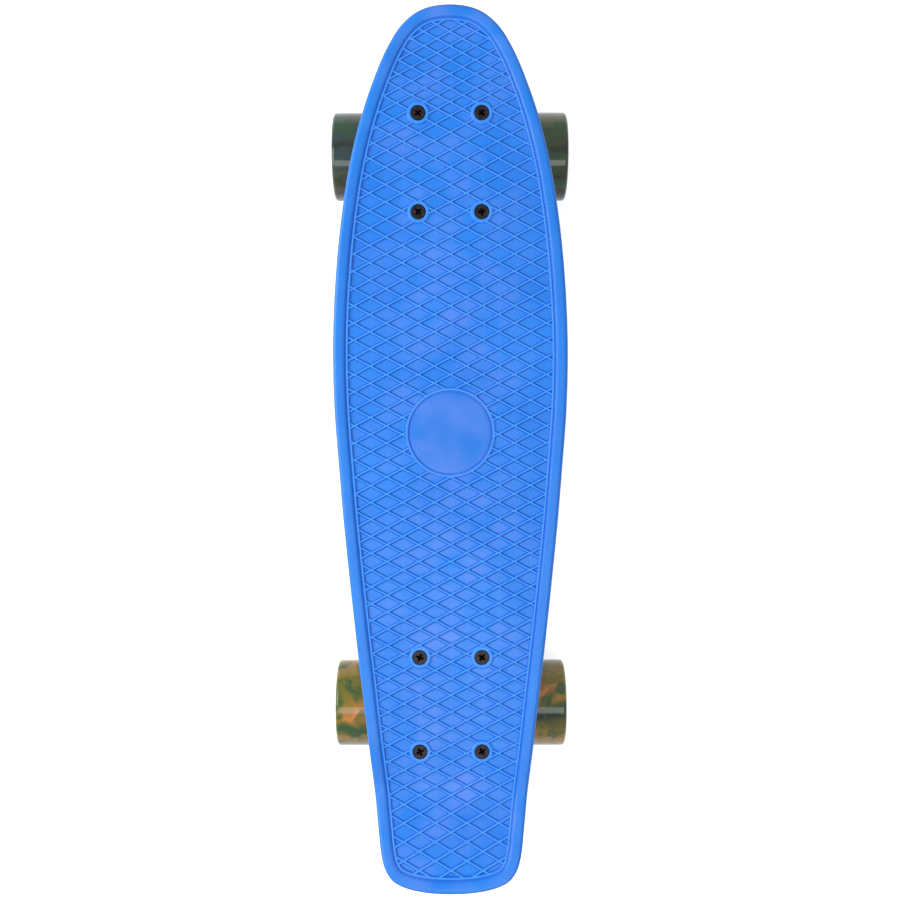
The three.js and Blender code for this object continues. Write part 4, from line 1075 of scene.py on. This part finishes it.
def hanger_field(places, end, fillet):
    """The axle's cross tube, a three-cornered web that rises from it, a middle spine, the bushing ring and
    the pivot's stem and ball, fused with fillets, with the ring's bore and two bushing seats cut out."""
    truck = TRUCKS[end]
    away = places - truck.ring
    u, w, x = away @ truck.up_line, away @ truck.down_pin, places[..., 0]
    axle_u, axle_w = (truck.axle - truck.ring) @ truck.up_line, (truck.axle - truck.ring) @ truck.down_pin
    ring = edged(np.hypot(u, x) - RING_RADIUS, np.abs(w) - RING_HALF_HEIGHT, 1.4)
    side = outline_field(u, w, [
        (11.6, -RING_HALF_HEIGHT), (ARM_LENGTH, -6), (ARM_LENGTH, 6), (axle_u + 6, axle_w),
        (axle_u, axle_w), (11.6, axle_w - TUBE_RADIUS)])
    spine = edged(side, np.abs(x) - 8 + 0.04 * np.maximum(u - 11, 0), 1.6)
    tube = rod_field(places, truck.axle, ACROSS, TUBE_RADIUS, -TUBE_HALF_LENGTH, TUBE_HALF_LENGTH, 0.9)
    rise = truck.ring + 27 * truck.up_line - truck.axle
    tall = np.linalg.norm(rise)
    along = (places - truck.axle) @ (rise / tall)
    thick = (places - truck.axle) @ np.cross(ACROSS, rise / tall)
    fan = outline_field(x, along, [(-32, 0), (32, 0), (8, tall), (-8, tall)])
    web = edged(fan, np.abs(thick) - 3.5, 1.5)
    stem = rod_field(places, truck.ring, truck.up_line, 6.0, 18, ARM_LENGTH, 0.8)
    neck = rod_field(places, truck.ring, truck.up_line, PIVOT_RADIUS, 25, PIVOT_REACH)
    ball = np.linalg.norm(away - PIVOT_REACH * truck.up_line, axis=-1) - PIVOT_RADIUS
    shape = fused(fused(fused(ring, spine, fillet), web, fillet), tube, fillet)
    shape = fused(fused(shape, stem, 2), np.minimum(neck, ball), 1.2)
    shape = np.maximum(shape, -(np.hypot(u, x) - RING_BORE))
    boardside = edged(np.hypot(u, x) - 11.35, np.abs(w + 12.5) - 10, 0)
    roadside = edged(np.hypot(u, x) - 10.85, np.abs(w - 22.5) - 20, 0)
    return np.maximum(np.maximum(shape, -boardside), -roadside)


def casting(field, end, nodes):
    """A casting's skin over the room of its CAD node and a little more, in the truck's own frame."""
    sizes = settings("trucks")
    truck = TRUCKS[end]
    turn = [truck.sign, truck.sign, 1]
    low, high = np.sort([(corner - truck.origin) * turn for corner in box_of(*nodes)], axis=0)
    margin = 3 * sizes.casting_step
    return field_skin(lambda places: field(places, end, sizes.fillet), low - margin, high + margin,
                      sizes.casting_step)


# Turned truck pieces, made about +Z


def hex_reach(angle):
    """A hexagon's reach, for flats one millimetre from its middle, at each angle."""
    return 1 / np.cos((angle + np.pi / 6) % (np.pi / 3) - np.pi / 6)


def hex_shape(flats, bore, profile, sides=48):
    """A profile turned with the corners of a hexagon: a pair wider than half the flats reaches out to the
    hexagon or to its own radius, whichever is nearer, which leaves a chamfer on the corners."""

    def change(radius, height, around):
        out = np.minimum(radius, flats / 2 * hex_reach(around))
        return np.where(radius > flats / 2, out, radius), height

    return turned([(bore, profile[0][1]), *profile, (bore, profile[-1][1])], sides, wrap=True, change=change)


def threaded(profile, pitch, depth, zones, sides=24, sink=None):
    """A rod with a helical groove in each zone of heights: the groove's depth follows a wave of the height
    over the pitch plus the turn about the rod, and fades out over the zone's last pitch."""
    profile = np.asarray(profile, float)
    between = np.concatenate([np.arange(start, stop, pitch / 4) for start, stop in zones])
    free = np.all([(profile[:, 1] < start) | (profile[:, 1] > stop) for start, stop in zones], axis=0)
    radius = np.interp(between, profile[profile[:, 0] > 0, 1], profile[profile[:, 0] > 0, 0])
    rows = np.vstack([profile[free], np.stack([radius, between], -1)])
    rows = rows[np.argsort(rows[:, 1], kind="stable")]

    def change(radius, height, around):
        wave = np.abs(((height / pitch + around / (2 * np.pi)) % 1) * 2 - 1)
        fade = np.max([np.clip((height - a) / pitch, 0, 1) * np.clip((b - height) / pitch, 0, 1)
                       for a, b in zones], axis=0)
        return radius - depth * fade * wave, sink(radius, height, around) if sink else height

    return turned(rows, sides, change=change)


def deck_bolt(turn):
    """A countersunk bolt: a threaded shank, a cone, and a head whose top is a fan of rings, sunk where two
    tapering slots with a V-shaped section cross at the given turn."""
    sizes = settings("trucks")
    rings = np.concatenate([np.linspace(4.3, 2.9, 3), np.linspace(2.75, 0.2, 16)])
    profile = [(0, -25.4), (2.1, -25.4), (2.4, -25.1), (2.4, -3.4), (2.4, -2.8), (2.55, -2.5), (4.5, -0.5),
               (4.6, -0.3), (4.56, -0.1), (4.44, 0), *[(radius, 0) for radius in rings], (0, 0)]

    def sink(radius, height, around):
        u, v = radius * np.cos(around - turn), radius * np.sin(around - turn)
        slots = [np.clip(1 - np.abs(b) / (sizes.cross_width / 2), 0, 1) ** 0.7
                 * smooth_step(sizes.cross_reach + 0.15 - np.abs(a), 0, 0.5)
                 * (1 - 0.42 * np.abs(a) / sizes.cross_reach) for a, b in ((u, v), (v, u))]
        return np.where(height > -0.01, height - sizes.cross_depth * np.maximum(*slots), height)

    return threaded(profile, sizes.thread_pitch, 0.32, [(-24.9, -4.2)], 84, sink)


def lock_nut(flats, height, bore):
    """A hexagon with chamfered corners under a rounded collar that holds a nylon ring."""
    half, hexed = flats / 2, height * 0.7
    corner = half / math.cos(math.pi / 6)
    metal = hex_shape(flats, bore, [
        (half - 0.3, 0), (half + 0.02, 0.02), (corner, 0.55), (corner, hexed - 0.45),
        (half + 0.02, hexed - 0.05), (half - 0.25, hexed), (half - 0.4, hexed + 0.25),
        (half - 0.55, height - 0.4), (half - 0.95, height - 0.02), (half - 1.3, height - 0.08),
        (half - 1.3, height - 0.5)])
    outer = half - 1.4
    nylon = turned([
        (bore - 0.1, height - 1.4), (outer, height - 1.4), (outer, height - 0.42),
        (outer - 0.3, height - 0.2), (bore + 0.1, height - 0.24), (bore - 0.1, height - 0.5)], 48, wrap=True)
    return metal, nylon


def on_pin(shape, end):
    """A shape about +Z set along the kingpin, with its origin where the kingpin meets the plate's top."""
    return on_truck(aimed(shape, (0, -KINGPIN_SETBACK, 0), TRUCKS[end].down_pin), end)


def cup_washer(at, bushing_radius, lip_side):
    """A pressed washer whose rounded lip stands round a bushing."""
    inner, lip = 5.1, bushing_radius + 0.3
    low, high = at, at + 1.5
    flat, root = (low, high) if lip_side > 0 else (high, low)
    end = root + 1.2 * lip_side

    def away(height, gap):
        return height + gap * lip_side

    return turned([
        (inner + 0.15, flat), (lip + 0.3, flat), (lip + 0.75, away(flat, 0.25)), (lip + 1, away(flat, 0.8)),
        (lip + 1, away(end, -0.3)), (lip + 0.75, end), (lip + 0.3, end), (lip + 0.05, away(end, -0.25)),
        (lip, away(root, 0.25)), (lip - 0.3, root), (inner + 0.15, root), (inner, away(root, -0.2)),
        (inner, away(flat, 0.2))], 64, wrap=True)


# Axle pieces, made about +Z with the height along the axle


def along_axle(shape, end, side="right", at=0.0):
    """A shape about +Z set along the axle at a distance from its middle, outward on the named side."""
    hand = SIDES[side]
    points = (shape[0][:, [2, 0, 1]] + [at, 0, 0]) * [hand, hand, 1]
    return points + middle_of(f"{end}_axle"), shape[1], shape[2]


def wheel_profile(sizes):
    """Half of a wheel's section from the core to the tread, and its mirror: the lip between the bearings, a
    bearing seat, a stepped recess, a flat face, a rounded shoulder and the tread."""
    half, seat = sizes.width / 2, sizes.bearing_radius + 0.3
    seat_end = sizes.spacer / 2 + sizes.bearing_width + 0.3
    lip = sizes.spacer / 2 - 0.3
    mouth = sizes.recess_mouth
    ease = arc((sizes.radius - sizes.shoulder, half - sizes.shoulder), sizes.shoulder, 90, 0, 9)
    upper = np.vstack([
        [(9.2, lip - 0.4), (9.5, lip), (seat, lip), (seat, seat_end - 0.4), (seat + 0.4, seat_end)],
        [(seat + 2.6, seat_end + 0.2), (seat + 3.2, seat_end + 0.5), (mouth - 1.0, half - 1.3)],
        [(mouth - 0.4, half - 0.5), (mouth + 0.3, half - 0.08), (mouth + 1.1, half)],
        [(sizes.radius - sizes.shoulder - 2.2, half)], ease,
        [(sizes.radius, half * 0.5), (sizes.radius, half * 0.2)],
    ])
    return np.vstack([upper, upper[::-1] * [1, -1]])


def bearing_profile(sizes):
    """A bearing's outer race with eased edges and, a little below its faces, two thin shields."""
    half, out = sizes.bearing_width / 2, sizes.bearing_radius
    upper = np.array([
        (out, half - 0.35), (out - 0.35, half), (out - 1.4, half), (out - 1.55, half - 0.3),
        (out - 1.8, half - 0.42), (out - 2.6, half - 0.3), (6.9, half - 0.3), (6.5, half - 0.22),
        (6.3, half - 0.4), (6.3, half - 0.75), (out - 1.7, half - 0.8)])
    return np.vstack([upper, upper[::-1] * [1, -1]])


def sleeve_profile(sizes):
    """The stack clamped on the axle: speed washer, inner race, spacer, inner race and speed washer, with a
    shallow groove at each joint."""
    middle, race = sizes.spacer / 2, sizes.spacer / 2 + sizes.bearing_width
    upper = np.array([
        (4.35, race + 1), (6.6, race + 1), (6.9, race + 0.8), (6.9, race + 0.5), (6.6, race + 0.32),
        (5.8, race + 0.26), (5.8, race + 0.02), (6.0, race - 0.25), (6.0, middle + 0.25),
        (5.75, middle), (5.75, middle - 0.1), (5.95, middle - 0.3)])
    return np.vstack([upper, upper[::-1] * [1, -1]])


def axle_rod():
    """A rod with chamfered ends, threaded on both for the axle nuts."""
    reach, chamfer = AXLE_HALF_LENGTH, 0.8
    upper = np.array([
        (AXLE_RADIUS, 61), (AXLE_RADIUS, reach - chamfer), (AXLE_RADIUS - chamfer, reach), (0, reach)])
    profile = np.vstack([upper[::-1] * [1, -1], upper])
    return threaded(profile, 1.06, 0.42, [(-reach + 0.9, -62.5), (62.5, reach - 0.9)], 32)


def finish_index(*shapes):
    """Which of several shapes each face of the shapes together comes from."""
    return np.concatenate([np.full(len(shape[kind]), i)
                           for kind in (1, 2) for i, shape in enumerate(shapes)])


# Operators


# A height over the panel and the painted light that a deck piece has there: painted shade below nought in
# creases, grooves and at feet, painted highlight above nought on crests, and a slightly deeper blue over the
# medallion's plain disc
RIM_PAINTED_LIGHT = [(0, 0), (0.02, -0.6), (0.2, -0.9), (0.5, -0.4), (0.7, -0.6), (0.86, -0.5), (1.02, 0.3),
              (1.15, 0.85), (1.21, 0.9), (1.24, -0.4), (1.6, -0.25), (2.2, 0)]
RIDGE_PAINTED_LIGHT = [(0, -0.2), (0.12, -0.9), (0.45, -0.8), (0.8, 0.5), (0.94, 1)]
DISC_PAINTED_LIGHT = [(0, -0.8), (0.1, -0.6), (0.22, -0.6), (0.4, -0.12), (0.58, -0.12), (0.7, 0.2), (1.05, 1)]
BOSS_PAINTED_LIGHT = [(0, -0.6), (0.2, -0.7), (0.6, 0), (0.9, 0.6)]
NUT_FINISHES = ["black_oxide_steel", "moulded_nylon"]
# How far each deck bolt's cross is turned, in degrees
BOLT_TURNS = [38, 41, 44, 12, 30, 24, 52, 68]


class MakeDeck(bpy.types.Operator):
    """Makes the moulded deck with its rim, ridges, medallion, bolt bosses, ribs and truck pads"""

    bl_idname = "skateboard.make_deck"
    bl_label = "Deck"

    def execute(self, context):
        plastic = ("moulded_polypropylene", "deck", "deck_plastic")
        shell, ridges = deck_shell(), deck_ridges()
        # Each deck piece gets painted shade in its hollows and painted highlight on its crests, by its
        # height over the panel
        rim_painted_light = painted_light_over_panel(shell, RIM_PAINTED_LIGHT)
        cut_away(piece("deck_shell", shell, *plastic, ["deck"], painted_light=rim_painted_light), bolt_holes())
        ridge_painted_light = painted_light_over_panel(ridges, RIDGE_PAINTED_LIGHT)
        piece("deck_ridges", ridges, *plastic, sharp=50, painted_light=ridge_painted_light)
        y = settings("deck").medallion_y
        disc = together(aimed(deck_medallion(), (0, y, PANEL_Z), (0, 0, 1)))
        disc_painted_light = painted_light_over_panel(disc, DISC_PAINTED_LIGHT)
        piece("deck_medallion", disc, *plastic, painted_light=disc_painted_light)
        bosses = together(*[aimed(deck_boss(), (place[0], place[1], PANEL_Z), (0, 0, 1))
                            for place in bolt_places().values()])
        boss_painted_light = painted_light_over_panel(bosses, BOSS_PAINTED_LIGHT)
        piece("deck_bosses", bosses, *plastic, painted_light=boss_painted_light)
        piece("deck_underside", deck_underside(), *plastic)
        return {"FINISHED"}


class MakeDeckBolts(bpy.types.Operator):
    """Makes the countersunk deck bolts and their lock nuts"""

    bl_idname = "skateboard.make_deck_bolts"
    bl_label = "Deck bolts"

    def execute(self, context):
        for turn, (node, place) in zip(np.radians(BOLT_TURNS), bolt_places().items()):
            top = (place[0], place[1], box_of(node)[1][2])
            bolt = together(aimed(deck_bolt(turn), top, (0, 0, 1)))
            piece(node.replace("_deck", ""), bolt, "black_oxide_steel", "deck", "black_steel", [node], 40)
            nut_node = node.replace("deck_bolt", "lock_nut")
            top = (place[0], place[1], box_of(nut_node)[1][2])
            nut = [aimed(shape, top, (0, 0, -1)) for shape in lock_nut(*DECK_NUT)]
            piece(nut_node.replace("lock_nut", "deck_nut"), together(*nut), NUT_FINISHES,
                  "deck", "black_steel", [nut_node], face_finish=finish_index(*nut))
        return {"FINISHED"}


class MakeCastings(bpy.types.Operator):
    """Makes the trucks' cast baseplates and hangers"""

    bl_idname = "skateboard.make_castings"
    bl_label = "Castings"

    def execute(self, context):
        for end in ENDS:
            for field, node, name, body in (
                    (baseplate_field, f"{end}_baseplate", f"{end}_truck_plate", "deck"),
                    (hanger_field, f"{end}_hanger", f"{end}_truck_hanger", f"{end}_hanger")):
                shape = on_truck(casting(field, end, [node]), end)
                piece(name, together(shape), "tumbled_aluminium", body, "cast_aluminium", [node], 48)
        return {"FINISHED"}


class MakeSteering(bpy.types.Operator):
    """Makes the kingpins, their nuts, the bushings, the cup washers and the pivot cups"""

    bl_idname = "skateboard.make_steering"
    bl_label = "Steering pieces"

    def execute(self, context):
        for end in ENDS:
            corner = KINGPIN_FLATS / 2 / math.cos(math.pi / 6)
            head = hex_shape(KINGPIN_FLATS, 4.0, [
                (6.4, 4.7), (7.2, 4.74), (corner, 5.3), (corner, 10.0), (7.1, 10.2)])
            shank = threaded([
                (0, 5.0), (KINGPIN_RADIUS, 5.0), (KINGPIN_RADIUS, 44), (KINGPIN_RADIUS, KINGPIN_END - 1),
                (4.0, KINGPIN_END), (0, KINGPIN_END)], 1.27, 0.5, [(44.5, KINGPIN_END - 0.9)], 32)
            self.on_kingpin(end, f"{end}_king_bolt", [head, shank], "black_oxide_steel", "black_steel",
                            f"{end}_kingpin")
            nut = [(shape[0] + [0, 0, KINGPIN_NUT_AT], *shape[1:]) for shape in lock_nut(*KINGPIN_NUT)]
            self.on_kingpin(end, f"{end}_king_nut", nut, NUT_FINISHES, "black_steel", f"{end}_kingpin_nut",
                            finish_index(*nut))
            barrel = [(5.2, 18.1), (10.3, 18.1), (10.55, 18.35), (10.8, 20.2), (10.97, 22.6), (11, 24.6),
                      (10.97, 26.6), (10.8, 29.0), (10.55, 30.85), (10.3, 31.1), (6.3, 31.1), (6.1, 30.9),
                      (5.05, 22.0), (5.05, 18.3)]
            self.bushing(end, f"{end}_barrel_bushing", barrel, (20, 29), f"{end}_boardside_bushing")
            cone = [(6.3, 36.7), (10.2, 36.7), (10.48, 37.0), (10.5, 38.6), (10.35, 39.3), (8.55, 46.5),
                    (8.3, 46.95), (8.0, 47.2), (5.2, 47.2), (5.05, 47.0), (5.05, 43.5), (6.1, 36.9)]
            self.bushing(end, f"{end}_cone_bushing", cone, (46, 39), f"{end}_roadside_bushing")
            for name, at, radius, lip_side in (
                    ("boardside", 16.3, BARREL_RADIUS, 1), ("roadside", 47.5, CONE_RADIUS, -1)):
                washer = cup_washer(at, radius, lip_side)
                self.on_kingpin(end, f"{end}_{name}_cup_washer", [washer], "bright_zinc", "bright_steel",
                                f"{end}_{name}_washer")
            truck = TRUCKS[end]
            outside = arc((0, PIVOT_REACH), CUP_RADIUS, 90, 0, 10)
            inside = arc((0, PIVOT_REACH), 5.3, 0, 90, 10)
            outside[0, 0] = inside[-1, 0] = 0
            mouth = PIVOT_REACH - CUP_DEPTH
            rim = [(CUP_RADIUS, mouth + 0.4), (7.0, mouth), (5.6, mouth), (5.3, mouth + 0.3)]
            cup = turned(np.vstack([outside, rim, inside]), 48)
            made = on_truck(aimed(cup, truck.ring, truck.up_line), end)
            piece(f"{end}_pivot_bush", together(made), "cup_urethane", "deck", "pivot_cup_rubber",
                  [f"{end}_pivot_cup"])
        return {"FINISHED"}

    def bushing(self, end, name, pairs, grip, node):
        """A cast bushing turned about the kingpin, put on no body and with its place baked into its mesh.
        The two distances of its grip along the kingpin are turned into points that nothing uses."""
        shape = on_pin(turned(pairs, 64, wrap=True), end)
        made = piece(name, together(shape), "bushing_urethane", None, "bushing_urethane", [node])
        held = on_pin(surface([(0, 0, grip[0]), (0, 0, grip[1])]), end)[0] * MM
        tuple(held[0])
        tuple(held[1])
        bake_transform(made)

    def on_kingpin(self, end, name, shapes, finishes, slot, node, face_finish=None):
        """A piece of one or more shapes set along the kingpin, which stays with the board."""
        placed = together(*[on_pin(shape, end) for shape in shapes])
        piece(name, placed, finishes, "deck", slot, [node], face_finish=face_finish)


class MakeAxles(bpy.types.Operator):
    """Makes the axles, the stacks of washers, races and spacers on them, and the axle nuts"""

    bl_idname = "skateboard.make_axles"
    bl_label = "Axles"

    def execute(self, context):
        sizes = settings("wheels")
        for end in ENDS:
            hanger = f"{end}_hanger"
            rod = together(along_axle(axle_rod(), end))
            piece(f"{end}_axle_rod", rod, "bright_zinc", hanger, "bright_steel", [f"{end}_axle"])
            for side in SIDES:
                name = f"{end}_{side}"
                at = abs(middle_of(f"{name}_axle_sleeve")[0])
                stack = along_axle(turned(sleeve_profile(sizes), 64, wrap=True), end, side, at)
                piece(f"{name}_race_stack", together(stack), "ground_steel", hanger, "bright_steel",
                      [f"{name}_axle_sleeve"])
                low, high = box_of(f"{name}_axle_nut")
                inner = min(abs(low[0]), abs(high[0]))
                nut = [along_axle(shape, end, side, inner) for shape in lock_nut(*AXLE_NUT)]
                piece(f"{name}_wheel_nut", together(*nut), NUT_FINISHES, hanger, "black_steel",
                      [f"{name}_axle_nut"], face_finish=finish_index(*nut))
        return {"FINISHED"}


class MakeWheels(bpy.types.Operator):
    """Makes the four marbled wheels and the two bearings in each"""

    bl_idname = "skateboard.make_wheels"
    bl_label = "Wheels"

    def execute(self, context):
        sizes = settings("wheels")
        colours = {"front": "green", "rear": "tan"}
        for end in ENDS:
            for side in SIDES:
                name = f"{end}_{side}"
                body = f"{name}_wheel"
                tyre = turned(wheel_profile(sizes), 128, wrap=True)
                made = along_axle(tyre, end, side, abs(middle_of(body)[0]))
                piece(f"{name}_tyre", together(made), f"marbled_urethane_{name}", body,
                      f"{colours[end]}_wheel_urethane", [body], 50)
                for place in ("inboard", "outboard"):
                    node = f"{name}_{place}_bearing"
                    race = turned(bearing_profile(sizes), 96, wrap=True)
                    made = together(along_axle(race, end, side, abs(middle_of(node)[0])))
                    piece(f"{name}_{place}_race", made, "ground_steel", body, "bright_steel", [node])
        return {"FINISHED"}


FLOOR_REACH = 12000
# Each light's place, what it is aimed at and its two sides, in metres
KEY_SOFTBOX = ((-0.84, 0.12, 0.57), (0, 0, 0.09), (0.6, 0.6))
STRIP = ((0, -0.32, 1.15), (0, -0.1, 0.05), (1.0, 0.32))


class MakeStudio(bpy.types.Operator):
    """Makes the floor, the lights, the surroundings and the camera"""

    bl_idname = "skateboard.make_studio"
    bl_label = "Studio"

    def execute(self, context):
        values = settings("studio")
        scene = context.scene
        scene.view_settings.view_transform = "Standard"
        corners = np.array([(-1, -1, 0), (1, -1, 0), (1, 1, 0), (-1, 1, 0)]) * FLOOR_REACH * MM
        mesh = bpy.data.meshes.new("studio_floor")
        mesh.from_pydata(corners.tolist(), [], [(0, 1, 2, 3)])
        mesh.materials.append(self.floor_finish())
        made = bpy.data.objects.new("studio_floor", mesh)
        scene.collection.objects.link(made)
        self.surroundings(scene, values.ambient)
        self.lamp("key_softbox", *KEY_SOFTBOX, values.key_power)
        self.lamp("strip", *STRIP, values.strip_power)
        camera = bpy.data.cameras.new("camera")
        camera.lens = values.lens
        camera.sensor_width = 36
        view = bpy.data.objects.new("camera", camera)
        view.location = np.array([values.camera_x, values.camera_y, values.camera_height]) * MM
        view.rotation_euler = (-values.camera_tilt, 0, values.camera_turn)
        scene.collection.objects.link(view)
        scene.camera = view
        return {"FINISHED"}

    def seen(self, tree):
        """One where a ray comes from the camera, a reflection or a transmission."""
        path = add(tree, "ShaderNodeLightPath").outputs
        first = add(tree, "ShaderNodeMath", {0: path["Is Camera Ray"], 1: path["Is Glossy Ray"]},
                    operation="MAXIMUM")
        return add(tree, "ShaderNodeMath", {0: first, 1: path["Is Transmission Ray"]}, operation="MAXIMUM")

    def floor_finish(self):
        """Matt white studio board, rolled: it shows as white, and only a soft shadow darkens it."""
        material, tree, place = new_finish("studio_board")
        fibre = add(tree, "ShaderNodeTexNoise", {"Vector": place, "Scale": 1 / (3 * MM)})
        far = add(tree, "ShaderNodeVectorMath", {0: place}, operation="LENGTH")
        lift = add(tree, "ShaderNodeMapRange", {
            "Value": far, "From Min": 0.5, "From Max": 2.2, "To Min": 0.62, "To Max": 0.85})
        shader = add(tree, "ShaderNodeBsdfPrincipled", {
            "Base Color": add(tree, "ShaderNodeValToRGB", {"Fac": fibre}, shades("floor", 0.99)),
            "Roughness": 0.8, "Specular IOR Level": 0.2, "Emission Color": (1.0, 1.0, 1.0),
            "Emission Strength": add(tree, "ShaderNodeMath", {0: self.seen(tree), 1: lift},
                                     operation="MULTIPLY")})
        add(tree, "ShaderNodeOutputMaterial", {"Surface": shader})
        return material

    def surroundings(self, scene, ambient):
        """White as the camera and reflections see it, and as bright as the ambient setting for all else."""
        world = bpy.data.worlds.new("studio_room")
        world.use_nodes = True
        tree = world.node_tree
        tree.nodes.clear()
        strength = add(tree, "ShaderNodeMapRange", {"Value": self.seen(tree), "To Min": ambient})
        back = add(tree, "ShaderNodeBackground", {"Color": (1.0, 1.0, 1.0), "Strength": strength})
        add(tree, "ShaderNodeOutputWorld", {"Surface": back})
        scene.world = world

    def lamp(self, name, place, target, size, power):
        """A rectangular light aimed at a target."""
        light = bpy.data.lights.new(name, "AREA")
        light.shape = "RECTANGLE"
        light.size, light.size_y = size
        light.energy = power
        made = bpy.data.objects.new(name, light)
        made.location = place
        away = np.array(target) - place
        tilt = math.acos(-away[2] / np.linalg.norm(away))
        made.rotation_euler = (tilt, 0, math.atan2(away[0], -away[1]) + math.pi)
        bpy.context.scene.collection.objects.link(made)


MAKERS = [MakeStudio, MakeDeck, MakeDeckBolts, MakeCastings, MakeSteering, MakeAxles, MakeWheels]


class SkateboardPanel(bpy.types.Panel):
    """Lists the operators and every setting in the 3D view's sidebar"""

    bl_idname = "VIEW3D_PT_skateboard"
    bl_label = "Cruiser skateboard"
    bl_space_type = "VIEW_3D"
    bl_region_type = "UI"
    bl_category = "Skateboard"

    def draw(self, context):
        for maker in MAKERS:
            self.layout.operator(maker.bl_idname)
        for name, group in GROUPS.items():
            box = self.layout.box()
            box.label(text=name.title())
            for key in group.__annotations__:
                box.prop(getattr(context.scene.skateboard, name), key)


CLASSES = [*GROUPS.values(), SkateboardSettings, *MAKERS, SkateboardPanel]


def register():
    """Registers the settings, the operators and the panel."""
    for each in CLASSES:
        bpy.utils.register_class(each)
    bpy.types.Scene.skateboard = bpy.props.PointerProperty(type=SkateboardSettings)


def unregister():
    """Takes back what register did, in the opposite order."""
    del bpy.types.Scene.skateboard
    for each in reversed(CLASSES):
        bpy.utils.unregister_class(each)


def main():
    register()
    for maker in MAKERS:
        group, name = maker.bl_idname.split(".")
        getattr(getattr(bpy.ops, group), name)()
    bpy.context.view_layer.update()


if __name__ == "__main__":
    main()
